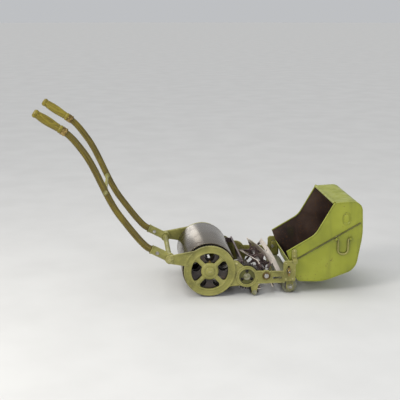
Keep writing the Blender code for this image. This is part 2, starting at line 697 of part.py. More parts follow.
def build_front_roller(parent):
    roller = turned([(FRONT_RADIUS, -FRONT_HALF), (FRONT_RADIUS, FRONT_HALF),
                     (SPINDLE_RADIUS + GAP, FRONT_HALF), (SPINDLE_RADIUS + GAP, -FRONT_HALF)], FRONT_SIDES)
    finish(roller, "front_roller", "roller_wood", parent)


# ---------------------------------------------------------------- handles

def handle_line():
    """Centreline of the right handle: straight out of its socket, then a steep middle and a flat grip end.
    Each curved stretch is a Bezier curve given by its two ends and two control points."""
    bar = Vector((BAR_X, -SOCKET_Y, BAR_Z))
    points = [bar + FOOT_DIRECTION * FOOT_START]
    mouth = bar + FOOT_DIRECTION * (SOCKET_REACH + 0.010)
    stretches = [
        [mouth, mouth + FOOT_DIRECTION * 0.032, (-0.3720, -0.200, 0.3340), (-0.4250, -0.203, 0.4080)],
        [(-0.4250, -0.203, 0.4080), (-0.4900, -0.206, 0.4990), (-0.5250, -0.212, 0.6350),
         (-0.5900, -0.217, 0.7250)],
        [(-0.5900, -0.217, 0.7250), (-0.6180, -0.219, 0.7635), (-0.6400, -0.223, 0.7960),
         (-0.6790, -0.226, 0.8220)],
    ]
    for stretch in stretches:
        run = interpolate_bezier(*[Vector(place) for place in stretch], STRETCH_POINTS)
        points += run if len(points) == 1 else run[1:]
    return points


def tube(line, radius, resolution, name="tube"):
    """A round bar along a line, with closed ends."""
    curve = bpy.data.curves.new(name, "CURVE")
    curve.dimensions = "3D"
    curve.bevel_depth = radius
    curve.bevel_resolution = resolution
    curve.use_fill_caps = True
    spline = curve.splines.new("POLY")
    spline.points.add(len(line) - 1)
    for point, place in zip(spline.points, line):
        point.co = (*place, 1.0)
    item = bpy.data.objects.new(name, curve)
    bpy.context.collection.objects.link(item)
    graph = bpy.context.evaluated_depsgraph_get()
    mesh = bpy.data.meshes.new_from_object(item.evaluated_get(graph))
    bpy.data.objects.remove(item)
    bm = bmesh.new()
    bm.from_mesh(mesh)
    bmesh.ops.remove_doubles(bm, verts=bm.verts, dist=0.00001)
    return object_from(bm)


def along(direction, origin):
    """Placement that turns -Y, along which a piece was built, to a direction and moves it to a point."""
    turn = Vector((0, -1, 0)).rotation_difference(direction).to_matrix().to_4x4()
    return Matrix.Translation(origin) @ turn


def handle_socket():
    """Iron socket: a cup around the handle's foot and an eye around the cross bar."""
    bar = Vector((BAR_X, -SOCKET_Y, BAR_Z))
    placed = along(FOOT_DIRECTION, bar)
    cup = reshape(rod(SOCKET_RADIUS, -SOCKET_REACH, -SOCKET_START, sides=20), placed)
    eye = rod(EYE_RADIUS, -SOCKET_Y - EYE_HALF, -SOCKET_Y + EYE_HALF, BAR_X, BAR_Z, 24)
    bore = reshape(rod(HANDLE_RADIUS + 3 * GAP, -SOCKET_REACH - 0.05, -FOOT_START + GAP, sides=20), placed)
    hole = rod(BAR_RADIUS + GAP, -SOCKET_Y - 0.03, -SOCKET_Y + 0.03, BAR_X, BAR_Z, 16)
    return cut(unite(eye, cup), hole, bore)


def build_handles(parent):
    line = handle_line()
    finish_pair(handle_socket(), "handle_socket", "green_iron", parent)

    end = Vector(line[-1])
    direction = (end - Vector(line[-2])).normalized()
    finish_pair(tube(line, HANDLE_RADIUS, 2), "handle", "handle_wood", parent)

    ferrule = turned([(HANDLE_RADIUS + 4 * GAP, 0.024), (0.0205, 0.023), (0.0215, 0.012), (0.0205, 0.001),
                      (HANDLE_RADIUS + 4 * GAP, 0.0005)], 20)
    finish_pair(reshape(ferrule, along(direction, end)), "ferrule", "brass", parent)

    grip = turned([(0, -GAP), (0.0185, -GAP), (0.0195, -0.012), (0.0175, -0.022), (0.0215, -0.065),
                   (0.0215, -0.095), (0.0180, -0.128), (0.0200, -0.140), (0.0150, -GRIP_LENGTH + 0.002),
                   (0, -GRIP_LENGTH)], 20)
    finish_pair(reshape(grip, along(direction, end)), "grip", "grip_wood", parent)

    stay_point = line[STAY_INDEX]
    stay_end = -stay_point.y - HANDLE_RADIUS - 3 * GAP
    half_profile = [(0, stay_end), (STAY_COLLAR_RADIUS, stay_end), (STAY_COLLAR_RADIUS, stay_end - 0.004),
                    (STAY_RADIUS, stay_end - 0.008)]
    other_half = [(radius, -y) for radius, y in half_profile]
    stay = turned(half_profile + other_half[::-1], 16, stay_point.x, stay_point.z)
    finish(stay, "handle_cross_stay", "green_iron", parent)


# ---------------------------------------------------------------- grass box

# Side view of the box: the mouth faces back and up, between the rear tip and the upper lip.
BOX_TIP = (0.377, 0.211, 0.005)
BOX_HEEL = (0.434, 0.060, 0.022)
BOX_FLOOR = (0.560, 0.054, 0.200)
BOX_TOE = (0.722, 0.112, 0.075)
BOX_FRONT = (0.752, 0.290, 0.350)
BOX_BROW = (0.744, 0.456, 0.048)
BOX_LIP = (0.607, 0.449, 0.005)
BOX_CHEEK = (0.517, 0.293, 0.100)
BOX_OUTLINE = [BOX_TIP, BOX_HEEL, BOX_FLOOR, BOX_TOE, BOX_FRONT, BOX_BROW, BOX_LIP, BOX_CHEEK]


def box_panel():
    """Right side panel with its raised diagonal seam, raised oval boss and two handle eyes."""
    panel = prism(rounded(BOX_OUTLINE), -BOX_HALF, -BOX_HALF + PANEL_THICK)
    seam_start = Vector((0.4310, 0.1739))
    seam_end = Vector((0.7400, 0.3480))
    side = (seam_end - seam_start).normalized().orthogonal() * 0.004
    seam = prism([seam_start - side, seam_end - side, seam_end + side, seam_start + side],
                 -BOX_HALF - 0.0030, -BOX_HALF + 0.0010)
    boss = reshape(rod(1.0, -BOX_HALF - 0.0035, -BOX_HALF + 0.0010, sides=24),
                   Matrix.Translation((0.669, 0, 0.370)) @ Matrix.Diagonal((0.020, 1, 0.031, 1)))
    panel = unite(panel, seam, boss)
    for side_x in (-BOX_EYE_X, BOX_EYE_X):
        x = BOX_HANDLE_X + side_x
        eye = block(x - 0.004, x + 0.004, -BOX_HANDLE_Y - 0.0075, -BOX_HALF + 0.0010,
                    BOX_HANDLE_Z - 0.007, BOX_HANDLE_Z + 0.007)
        hole = rod(BOX_HANDLE_ROD + GAP, x - 0.01, x + 0.01, sides=12)
        hole = reshape(hole, Matrix.Translation((0, -BOX_HANDLE_Y, BOX_HANDLE_Z)) @
                       Matrix.Rotation(-math.pi / 2, 4, "Z"))
        panel = unite(panel, cut(eye, hole))
    return panel


def box_sheet():
    """One sheet wrapped from the low rear lip under the floor and up the front to the top."""
    line = rounded([(0.400, 0.150, 0), BOX_HEEL, BOX_FLOOR, BOX_TOE, BOX_FRONT, BOX_BROW,
                    (0.6140, 0.4495, 0)], closed=False, step=math.radians(20))
    half = BOX_HALF - PANEL_THICK - GAP
    return prism(thickened(line, SHEET_THICK), -half, half)


def box_hook():
    """Hook strap on the panel's tip, which hangs over the top of the frame's horn."""
    strap = block(0.404, 0.426, -0.2103, -BOX_HALF - GAP, 0.166, 0.222)
    tongue = block(0.4042, 0.4258, -0.2362, -BOX_HALF - 0.0006, HORN_TOP + GAP, HORN_TOP + 0.0070)
    lip = block(0.4044, 0.4256, -0.2360, -0.2320, 0.158, HORN_TOP + 0.0065)
    return unite(strap, tongue, lip)


def box_handle():
    """Drop handle around its own hinge line, along X through the two eyes."""
    reach = 0.041
    inner = 0.025
    drop = 0.075
    corners = [(-reach, 0, 0), (-inner, 0, 0.005), (-inner, -drop, 0.022), (inner, -drop, 0.022),
               (inner, 0, 0.005), (reach, 0, 0)]
    line = [Vector((x, 0, z)) for x, z in rounded(corners, closed=False, step=math.radians(30))]
    return tube(line, BOX_HANDLE_ROD, 1)


def build_box(parent):
    finish_pair(box_panel(), "box_side", "box_green", parent)
    finish(box_sheet(), "box_sheet", "box_green", parent)
    half = BOX_HALF - PANEL_THICK - GAP
    lip_rod = rod(LIP_ROD_RADIUS, -half, half, BOX_LIP[0], BOX_LIP[1] - 0.002, 16)
    finish(lip_rod, "box_lip_rod", "box_green", parent)
    finish_pair(box_hook(), "box_hook", "green_iron", parent)


# ---------------------------------------------------------------- assembly

def build():
    mower = empty("mower", (AXLE_X, 0, 0))
    roller = empty("roller", (0, 0, ROLLER_Z), mower)
    idler = empty("idler", (IDLER_X, 0, IDLER_Z), mower)
    reel = empty("reel", (REEL_X, 0, REEL_Z), mower)
    knife = empty("knife", (KNIFE_PIVOT_X, 0, KNIFE_PIVOT_Z), mower)
    carriage = empty("front_carriage", (0, 0, 0), mower)
    front_roller = empty("front_roller_axis", (FRONT_X, 0, FRONT_Z), carriage)
    right_nut = empty("right_wing_nut", (CLAMP_X, 0, CLAMP_Z), carriage)
    left_nut = empty("left_wing_nut", (CLAMP_X, 0, CLAMP_Z), carriage)
    grass_box = empty("grass_box", (0, 0, 0), mower)
    right_bail = empty("right_box_handle", (BOX_HANDLE_X, -BOX_HANDLE_Y, BOX_HANDLE_Z), grass_box)
    left_bail = empty("left_box_handle", (BOX_HANDLE_X, BOX_HANDLE_Y, BOX_HANDLE_Z), grass_box)

    build_frame(mower)
    build_roller(roller)
    build_idler(idler)
    build_reel(reel)
    build_knife_bar(knife)
    build_front_carriage(carriage)
    build_wing_nuts(right_nut, left_nut)
    build_front_roller(front_roller)
    build_handles(mower)
    build_box(grass_box)
    finish_pair(box_handle(), "box_handle", "green_iron", right_bail, left_bail)


clear_scene()
MADE = make_materials()
build()
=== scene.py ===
"""Looks of a Victorian reel mower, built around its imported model.

Places in the functions are measured as in the model's source: X from the roller axle, Z from the ground,
and the right-hand side, with the gears, on -Y. A place of the side view is a pair (X, Z). hang() shifts a
finished mesh to the row frame.
"""
import json
import math

import bmesh
import bpy
from mathutils import Matrix, Vector
from mathutils.geometry import interpolate_bezier


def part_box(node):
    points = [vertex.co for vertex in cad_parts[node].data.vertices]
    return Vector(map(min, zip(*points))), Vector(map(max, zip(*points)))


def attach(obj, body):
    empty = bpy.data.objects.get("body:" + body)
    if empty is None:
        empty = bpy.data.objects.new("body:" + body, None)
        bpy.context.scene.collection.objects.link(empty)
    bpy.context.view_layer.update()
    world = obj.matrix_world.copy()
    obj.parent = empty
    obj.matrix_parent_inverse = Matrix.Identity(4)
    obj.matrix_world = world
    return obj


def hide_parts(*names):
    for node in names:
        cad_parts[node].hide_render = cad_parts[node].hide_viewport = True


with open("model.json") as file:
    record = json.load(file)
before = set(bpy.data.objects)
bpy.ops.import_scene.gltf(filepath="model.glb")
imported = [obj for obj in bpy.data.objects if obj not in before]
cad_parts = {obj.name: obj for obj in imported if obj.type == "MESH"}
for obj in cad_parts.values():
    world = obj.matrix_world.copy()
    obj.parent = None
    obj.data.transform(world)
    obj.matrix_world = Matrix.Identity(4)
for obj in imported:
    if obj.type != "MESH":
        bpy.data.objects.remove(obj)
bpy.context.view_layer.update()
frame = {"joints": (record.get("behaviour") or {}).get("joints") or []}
JOINTS = {joint["name"]: joint for joint in frame["joints"]}
SCENE = bpy.context.scene

# ---- Places in the side view, from the record ----
AXLE_X = JOINTS["roller_spin"]["pos_m"][0]


def joint_place(name):
    x, _, z = JOINTS[name]["pos_m"]
    return x - AXLE_X, z


ROLLER = joint_place("roller_spin")
IDLER = joint_place("idler_spin")
REEL = joint_place("reel_spin")
KNIFE = joint_place("knife_tilt")
FRONT = joint_place("front_roller_spin")
CLAMP = joint_place("right_wing_nut_turn")
BAIL = joint_place("right_box_handle_swing")
BAIL_Y = JOINTS["right_box_handle_swing"]["pos_m"][1]
ROLLER_RADIUS = ROLLER[1]

# ---- Sizes, as in the model ----
ORIGIN = (0.0, 0.0)
UP = (0, 0, 1)
GAP = 0.0003
BAR = (-0.192, 0.193)
SOCKET_Y = 0.198
HANDLE_RADIUS = 0.0165
FOOT_DIRECTION = Vector((-0.885, 0, 0.465)).normalized()
HORN_TOP = 0.171

# ---- Radii of bores, a little wider than the rods and bushes in them ----
AXLE_BORE = 0.0124
STUD_BORE = 0.0104
SHAFT_BORE = 0.0114
BUSH_SEAT = 0.0169
SPINDLE_BORE = 0.0084
CLAMP_BORE = 0.0045


# ---------------------------------------------------------------- camera, light, floor

def make_camera():
    """A standing viewer's place beside the right-hand side, behind the middle, looking slightly down."""
    data = bpy.data.cameras.new("camera")
    data.lens = 74
    data.sensor_width = 36
    item = bpy.data.objects.new("camera", data)
    item.location = (-0.361, -3.986, 1.355)
    target = Vector((0.002, 0.0, 0.430))
    item.rotation_euler = (target - item.location).to_track_quat("-Z", "Y").to_euler()
    SCENE.collection.objects.link(item)
    SCENE.camera = item


def area_light(name, location, target, size, power, colour):
    data = bpy.data.lights.new(name, "AREA")
    data.shape = "RECTANGLE"
    data.size, data.size_y = size
    data.energy = power
    data.color = colour
    item = bpy.data.objects.new(name, data)
    item.location = location
    item.rotation_euler = (Vector(target) - item.location).to_track_quat("-Z", "Y").to_euler()
    item.visible_camera = False
    SCENE.collection.objects.link(item)
    return item


def make_light():
    area_light("key", (-2.6, -1.9, 2.7), (0.0, 0.0, 0.2), (1.5, 1.5), 84, (1.0, 0.97, 0.90))
    area_light("fill", (2.4, -3.2, 1.6), (0.2, 0.0, 0.2), (2.2, 1.6), 30, (0.93, 0.96, 1.0))
    top = bpy.data.lights.new("top", "SUN")
    top.energy = 0.95
    top.angle = math.radians(40)
    top.color = (1.0, 0.99, 0.96)
    item = bpy.data.objects.new("top", top)
    item.rotation_euler = Vector((0.25, -0.15, -1.0)).to_track_quat("-Z", "Y").to_euler()
    SCENE.collection.objects.link(item)
    strip = area_light("strip", (-0.58, 3.9, 1.1), (-0.1, 0.0, 0.2), (0.75, 1.8), 7.5, (1.0, 0.98, 0.95))
    strip.visible_diffuse = False
    world = bpy.data.worlds.new("studio")
    world.use_nodes = True
    tree = world.node_tree
    direction = tree.nodes.new("ShaderNodeTexCoord").outputs["Generated"]
    split = tree.nodes.new("ShaderNodeSeparateXYZ")
    tree.links.new(direction, split.inputs["Vector"])
    height = tree.nodes.new("ShaderNodeMapRange")
    height.inputs["From Min"].default_value = 0.0
    height.inputs["From Max"].default_value = 0.7
    height.inputs["To Min"].default_value = 0.56
    height.inputs["To Max"].default_value = 0.60
    tree.links.new(split.outputs["Z"], height.inputs["Value"])
    background = tree.nodes["Background"]
    background.inputs["Color"].default_value = (0.92, 0.94, 0.97, 1.0)
    tree.links.new(height.outputs["Result"], background.inputs["Strength"])
    SCENE.world = world
    SCENE.view_settings.view_transform = "Standard"


def make_floor():
    bm = bmesh.new()
    bm.faces.new([bm.verts.new((x, y, 0)) for x, y in circle(90.0, sides=64)])
    item = object_from(bm, "floor")
    look = Look("floor_pale", 0.0)
    tone = look.ramp(look.noise(3.0, 3), [(0.35, (0.62, 0.617, 0.610)), (0.65, (0.65, 0.647, 0.640))])
    look.set("Specular IOR Level", 0.0)
    item.data.materials.append(look.done(tone, 1.0))


# ---------------------------------------------------------------- materials

class Look:
    """A procedural material, built node by node around one Principled shader."""

    def __init__(self, name, metallic=0.0):
        self.material = bpy.data.materials.new(name)
        self.material.use_nodes = True
        self.tree = self.material.node_tree
        self.shader = self.tree.nodes["Principled BSDF"]
        self.set("Metallic", metallic)
        self.place = self.node("ShaderNodeTexCoord").outputs["Object"]
        self.normal = None

    def node(self, kind, values=(), **settings):
        """A node with its settings and with values or links for its inputs."""
        made = self.tree.nodes.new(kind)
        for key, value in settings.items():
            setattr(made, key, value)
        for key, value in dict(values).items():
            self.feed(made.inputs[key], value)
        return made

    def feed(self, socket, value):
        if isinstance(value, bpy.types.NodeSocket):
            self.tree.links.new(value, socket)
        elif isinstance(value, tuple) and len(value) == 3 and socket.type == "RGBA":
            socket.default_value = (*value, 1.0)
        else:
            socket.default_value = value

    def set(self, name, value):
        self.feed(self.shader.inputs[name], value)

    def stretched(self, at, stretch):
        if not stretch:
            return at
        return self.node("ShaderNodeMapping", {"Vector": at, "Scale": stretch}).outputs["Vector"]

    def noise(self, scale, detail=3.0, stretch=None, at=None, distort=0.0):
        at = self.stretched(at or self.place, stretch)
        values = {"Vector": at, "Scale": scale, "Detail": detail, "Distortion": distort}
        return self.node("ShaderNodeTexNoise", values).outputs["Fac"]

    def ramp(self, value, stops):
        made = self.node("ShaderNodeValToRGB", {"Fac": value})
        while len(made.color_ramp.elements) < len(stops):
            made.color_ramp.elements.new(0.5)
        for element, (place, colour) in zip(made.color_ramp.elements, stops):
            element.position = place
            element.color = (*colour, 1.0)
        return made.outputs["Color"]

    def level(self, value, low, high, bottom=0.0, top=1.0):
        """value from low..high to bottom..top, held at both ends."""
        values = {"Value": value, "From Min": low, "From Max": high, "To Min": bottom, "To Max": top}
        return self.node("ShaderNodeMapRange", values, interpolation_type="SMOOTHSTEP").outputs["Result"]

    def math(self, operation, one, other=0.0):
        return self.node("ShaderNodeMath", {0: one, 1: other}, operation=operation).outputs["Value"]

    def times(self, one, other):
        return self.math("MULTIPLY", one, other)

    def mix(self, factor, one, other):
        return self.node("ShaderNodeMix", {"Factor": factor, 6: one, 7: other}, data_type="RGBA").outputs[2]

    def over(self, colour, factor, strength, top):
        """The colour with another laid over it where the factor says."""
        return self.mix(self.times(factor, strength), colour, top)

    def patches(self, scale, detail, low, high, where):
        """Spots where a noise is high and another value allows them."""
        return self.times(self.level(self.noise(scale, detail), low, high), where)

    def painted_corner_shade(self, distance, low, high):
        """Painted shade: 1 in corners and under overhangs, where shade falls, 0 on open surfaces."""
        made = self.node("ShaderNodeAmbientOcclusion", {"Distance": distance}, samples=6)
        return self.level(made.outputs["AO"], high, low)

    def edges(self, distance, low=0.62, high=0.94):
        """1 along outer edges, 0 on flat surfaces thicker than the distance."""
        made = self.node("ShaderNodeAmbientOcclusion", {"Distance": distance}, samples=6, inside=True)
        return self.level(made.outputs["AO"], high, low)

    def bump(self, height, strength, distance):
        values = {"Height": height, "Strength": strength, "Distance": distance}
        if self.normal is not None:
            values["Normal"] = self.normal
        self.normal = self.node("ShaderNodeBump", values).outputs["Normal"]
        self.set("Normal", self.normal)

    def done(self, colour, roughness, *bumps):
        """The material, with its colour, roughness and bumps (height, strength, distance) wired up."""
        self.set("Base Color", colour)
        self.set("Roughness", roughness)
        for bump in bumps:
            self.bump(*bump)
        return self.material


def cast_paint(name, dark, middle, light, worn, edge=0.0028):
    """Old brushed oil paint over a sand casting: grainy, darker in the corners with grease and painted shade,
    rubbed on the edges.
    """
    look = Look(name)
    broad = look.noise(9.0, 4.0)
    fine = look.noise(70.0, 5.0)
    grain = look.noise(420.0, 2.0)
    colour = look.ramp(broad, [(0.30, dark), (0.50, middle), (0.72, light)])
    mottled = look.level(fine, 0.50, 0.72, 0.0, 0.45)
    colour = look.mix(mottled, colour, light)
    # Painted shade with grease: darker where corners are occluded, in patches.
    shade_and_dirt = look.times(look.painted_corner_shade(0.016, 0.30, 0.88), look.level(fine, 0.25, 0.60, 0.55, 1.0))
    colour = look.mix(shade_and_dirt, colour, (0.050, 0.042, 0.020))
    rubbed = look.times(look.edges(edge), look.level(fine, 0.38, 0.56))
    colour = look.over(colour, rubbed, 0.85, worn)
    rust = look.patches(160.0, 2.0, 0.66, 0.72, look.level(broad, 0.45, 0.6))
    colour = look.over(colour, rust, 0.8, (0.095, 0.046, 0.020))
    look.set("Metallic", look.times(rubbed, 0.35))
    roughness = look.level(fine, 0.30, 0.70, 0.34, 0.58)
    return look.done(colour, roughness, (grain, 0.22, 0.0006), (fine, 0.30, 0.0012))


def sheet_paint():
    """Bright yellow-green paint brushed over tinned sheet: streaks, dents, scratches, chips and painted shade
    in the corners.
    """
    look = Look("sheet_paint")
    broad = look.noise(5.0, 3.0)
    streaks = look.noise(26.0, 4.0, stretch=(1.0, 1.0, 0.14))
    fine = look.noise(120.0, 4.0)
    scratch = look.noise(60.0, 2.0, stretch=(1.0, 1.0, 9.0), distort=0.6)
    colour = look.ramp(broad, [(0.30, (0.205, 0.225, 0.017)), (0.50, (0.285, 0.308, 0.022)),
                               (0.72, (0.355, 0.375, 0.036))])
    colour = look.mix(look.level(streaks, 0.48, 0.72, 0.0, 0.5), colour, (0.175, 0.195, 0.022))
    colour = look.mix(look.level(scratch, 0.70, 0.76, 0.0, 0.35), colour, (0.38, 0.39, 0.14))
    # Painted shade: darker in corners, under the bead and along the seam, where shade falls.
    colour = look.over(colour, look.painted_corner_shade(0.012, 0.30, 0.90), 0.85, (0.045, 0.040, 0.012))
    chips = look.times(look.edges(0.0011, 0.55, 0.85), look.level(fine, 0.48, 0.60))
    colour = look.over(colour, chips, 0.35, (0.36, 0.35, 0.16))
    rust = look.patches(85.0, 3.0, 0.67, 0.72, look.level(broad, 0.50, 0.62))
    colour = look.over(colour, rust, 0.85, (0.115, 0.052, 0.020))
    roughness = look.level(streaks, 0.30, 0.70, 0.30, 0.50)
    dents = look.noise(7.0, 2.0)
    return look.done(colour, roughness, (dents, 0.5, 0.010), (streaks, 0.18, 0.0015), (fine, 0.12, 0.0006))


def sheet_inside():
    """Bare iron inside the box, brown with rust and stained by grass."""
    look = Look("sheet_inside", 0.25)
    broad = look.noise(9.0, 5.0)
    fine = look.noise(95.0, 5.0)
    colour = look.ramp(broad, [(0.28, (0.036, 0.023, 0.020)), (0.52, (0.082, 0.050, 0.038)),
                               (0.76, (0.135, 0.085, 0.062))])
    colour = look.mix(look.level(fine, 0.55, 0.70, 0.0, 0.6), colour, (0.165, 0.078, 0.034))
    stain = look.level(look.noise(14.0, 3.0, stretch=(1.0, 1.0, 0.3)), 0.56, 0.70, 0.0, 0.45)
    colour = look.mix(stain, colour, (0.050, 0.055, 0.018))
    roughness = look.level(fine, 0.3, 0.7, 0.52, 0.78)
    return look.done(colour, roughness, (fine, 0.35, 0.0010), (look.noise(8.0, 2.0), 0.4, 0.008))


def turned_steel(name, base, stain, axis_stretch, low, high, depth=0.05, painted_corner_shade=0.75, stains=0.60):
    """Steel with fine marks along one direction, brown stains, painted shade in its corners and a changing
    polish.
    """
    look = Look(name, 1.0)
    marks = look.noise(300.0, 2.0, stretch=axis_stretch)
    broad = look.noise(8.0, 4.0)
    fine = look.noise(75.0, 5.0)
    pale = tuple(min(1.0, channel * 1.18) for channel in base)
    colour = look.mix(look.level(marks, 0.35, 0.70, 0.0, 0.7), base, pale)
    stained = look.times(look.level(broad, 0.44, 0.74), look.level(fine, 0.30, 0.68))
    colour = look.over(colour, stained, stains, stain)
    # Painted shade: darker in corners and recesses.
    colour = look.over(colour, look.painted_corner_shade(0.010, 0.30, 0.85), painted_corner_shade, (0.045, 0.035, 0.030))
    polish = look.math("ADD", look.level(marks, 0.3, 0.7, low, high), look.times(stained, 0.22))
    return look.done(colour, polish, (marks, depth, 0.0003), (fine, depth * 0.3, 0.0006))


def bare_iron(name, metallic, scales, tones, bright, shade_and_dirt, polish, relief):
    """Unpainted iron, darker in its corners with old oil and painted shade, and bright only where it rubs.
    bright is a strength and a colour, the next argument a distance and a colour for that painted shade and
    oil, polish a range of roughness, relief a bump's strength and depth."""
    look = Look(name, metallic)
    broad = look.noise(scales[0], 4.0)
    fine = look.noise(scales[1], 4.0)
    colour = look.ramp(broad, tones)
    rubbed = look.times(look.edges(0.0016, 0.60, 0.94), look.level(fine, 0.34, 0.55))
    colour = look.over(colour, rubbed, *bright)
    distance, shade_and_dirt_colour = shade_and_dirt
    # Painted shade with old oil: darker in the corners.
    colour = look.over(colour, look.painted_corner_shade(distance, 0.30, 0.85), 0.7, shade_and_dirt_colour)
    return look.done(colour, look.level(fine, 0.3, 0.7, *polish), (fine, *relief))


def old_brass(name, shade):
    """Brass gone brown, with painted shade in its corners and bright only on its edges. shade below 1 stands
    for more oil on it.
    """
    look = Look(name, 1.0)
    broad = look.noise(40.0, 4.0)
    colour = look.ramp(broad, [(0.30, (0.130, 0.086, 0.030)), (0.52, (0.300, 0.210, 0.075)),
                               (0.74, (0.450, 0.325, 0.125))])
    # Painted shade: darker in the corners.
    colour = look.over(colour, look.painted_corner_shade(0.008, 0.30, 0.85), 0.8, (0.050, 0.036, 0.016))
    colour = look.over(colour, look.edges(0.0009, 0.6, 0.94), 0.4, (0.66, 0.50, 0.23))
    colour = look.mix(1.0 - shade, colour, (0.030, 0.026, 0.012))
    return look.done(colour, look.level(broad, 0.3, 0.7, 0.44, 0.26), (look.noise(260.0, 3.0), 0.12, 0.0004))


def straight_wood(name, dark, middle, light, coat, grain_scale):
    """Wood whose grain runs along the piece, from the straight coordinates kept on its mesh, with painted
    shade in its corners.
    """
    look = Look(name)
    straight = look.node("ShaderNodeAttribute", attribute_name="straight").outputs["Vector"]
    fibres = look.noise(grain_scale, 5.0, stretch=(0.045, 1.0, 1.0), at=straight, distort=0.25)
    pores = look.noise(grain_scale * 5.0, 2.0, stretch=(0.03, 1.0, 1.0), at=straight)
    along = look.stretched(straight, (0.22, 1.0, 1.0))
    values = {"Vector": along, "Scale": 105.0, "Distortion": 3.2, "Detail": 2.0}
    rings = look.node("ShaderNodeTexWave", values, wave_type="BANDS", bands_direction="Y")
    bands = look.math("ADD", look.times(rings.outputs["Fac"], 0.22), look.times(fibres, 0.84))
    colour = look.ramp(bands, [(0.28, dark), (0.52, middle), (0.78, light)])
    colour = look.mix(look.level(pores, 0.60, 0.72, 0.0, 0.65), colour, dark)
    # Painted shade: darker in corners and where parts meet.
    colour = look.over(colour, look.painted_corner_shade(0.012, 0.35, 0.88), 0.8, (0.028, 0.020, 0.008))
    colour = look.mix(look.level(look.noise(12.0, 3.0), 0.55, 0.72, 0.0, 0.45), colour, light)
    look.set("Specular IOR Level", 0.35)
    look.set("Coat Weight", coat)
    look.set("Coat Roughness", 0.25)
    roughness = look.level(fibres, 0.3, 0.7, 0.36, 0.56)
    return look.done(colour, roughness, (pores, 0.20, 0.0006), (fibres, 0.16, 0.0010))


def make_looks():
    frame_green = ((0.135, 0.125, 0.028), (0.250, 0.236, 0.055), (0.355, 0.330, 0.092), (0.50, 0.46, 0.22))
    black = [(0.30, (0.030, 0.026, 0.026)), (0.55, (0.070, 0.060, 0.056)), (0.78, (0.125, 0.085, 0.060))]
    temper = [(0.30, (0.075, 0.050, 0.052)), (0.52, (0.150, 0.105, 0.105)), (0.75, (0.240, 0.175, 0.160))]
    return {
        "green_iron": cast_paint("green_iron_paint", *frame_green),
        "thin_green": cast_paint("thin_iron_paint", *frame_green, edge=0.0012),
        "nut_green": cast_paint("nut_paint", (0.105, 0.105, 0.045), (0.190, 0.187, 0.088),
                                (0.280, 0.272, 0.145), (0.42, 0.40, 0.31)),
        # Painted shade in dark olive green: the shadow under the box's seam, and with oil the shade in the
        # small ring's recess.
        "oily_green": cast_paint("oily_green", (0.038, 0.038, 0.006), (0.080, 0.080, 0.010),
                                 (0.140, 0.138, 0.022), (0.26, 0.25, 0.12)),
        "box_green": sheet_paint(),
        "box_inside": sheet_inside(),
        "roller_steel": turned_steel("drum_steel", (0.190, 0.162, 0.122), (0.086, 0.049, 0.030),
                                     (0.02, 1.0, 0.02), 0.18, 0.28, depth=0.03, stains=0.7),
        "blade_steel": turned_steel("blade_steel", (0.72, 0.640, 0.550), (0.420, 0.310, 0.240),
                                    (0.6, 0.02, 0.6), 0.30, 0.44, painted_corner_shade=0.40, stains=0.35),
        "shaft_steel": turned_steel("shaft_steel", (0.46, 0.445, 0.425), (0.120, 0.078, 0.050),
                                    (0.2, 1.0, 0.2), 0.24, 0.40),
        # In each bare_iron look the sixth argument, a distance and a dark colour, is painted shade in the
        # corners with old oil.
        "dark_iron": bare_iron("dark_casting", 0.7, (18.0, 140.0), black, (0.75, (0.36, 0.33, 0.30)),
                               (0.010, (0.018, 0.014, 0.012)), (0.36, 0.62), (0.28, 0.0008)),
        "plate_iron": bare_iron("plate_iron", 0.75, (11.0, 110.0), temper, (0.8, (0.46, 0.38, 0.36)),
                                (0.014, (0.024, 0.016, 0.014)), (0.30, 0.52), (0.20, 0.0007)),
        "brass": old_brass("old_brass", 1.0),
        "oily_brass": old_brass("oily_brass", 0.45),
        "handle_wood": straight_wood("handle_wood", (0.043, 0.028, 0.003), (0.108, 0.078, 0.005),
                                     (0.210, 0.162, 0.011), 0.12, 250.0),
        "grip_wood": straight_wood("grip_wood", (0.084, 0.056, 0.005), (0.192, 0.150, 0.013),
                                   (0.300, 0.245, 0.026), 0.10, 260.0),
        "roller_wood": straight_wood("front_roller_paint", (0.140, 0.136, 0.082), (0.205, 0.204, 0.126),
                                     (0.262, 0.260, 0.166), 0.05, 90.0),
    }


# ---------------------------------------------------------------- building blocks

def object_from(bm, name="shape"):
    bmesh.ops.recalc_face_normals(bm, faces=bm.faces)
    mesh = bpy.data.meshes.new(name)
    bm.to_mesh(mesh)
    bm.free()
    item = bpy.data.objects.new(name, mesh)
    SCENE.collection.objects.link(item)
    return item


def applied(item):
    """The piece with its modifiers made real."""
    graph = bpy.context.evaluated_depsgraph_get()
    mesh = bpy.data.meshes.new_from_object(item.evaluated_get(graph))
    item.modifiers.clear()
    item.data = mesh
    return item


def arc(radius, at, start, end, count):
    """Points on an arc of the side view, from a start to an end angle in degrees."""
    points = []
    for k in range(count + 1):
        angle = math.radians(start + (end - start) * k / count)
        points.append((at[0] + radius * math.cos(angle), at[1] + radius * math.sin(angle)))
    return points


def circle(radius, at=ORIGIN, sides=32, start=0):
    """Points evenly around a circle; also the places of things that stand in a ring."""
    return arc(radius, at, start, start + 360, sides)[:-1]


def plate(outer, y0, y1, holes=()):
    """A flat plate in X and Z between y0 and y1, with holes."""
    bm = bmesh.new()
    edges = []
    for loop in (outer, *holes):
        verts = [bm.verts.new((x, y0, z)) for x, z in loop]
        edges += [bm.edges.new(pair) for pair in zip(verts, verts[1:] + verts[:1])]
    bmesh.ops.triangle_fill(bm, use_beauty=True, edges=edges)
    grown = bmesh.ops.extrude_face_region(bm, geom=list(bm.faces))["geom"]
    moved = [item for item in grown if isinstance(item, bmesh.types.BMVert)]
    bmesh.ops.translate(bm, vec=(0, y1 - y0, 0), verts=moved)
    return object_from(bm)


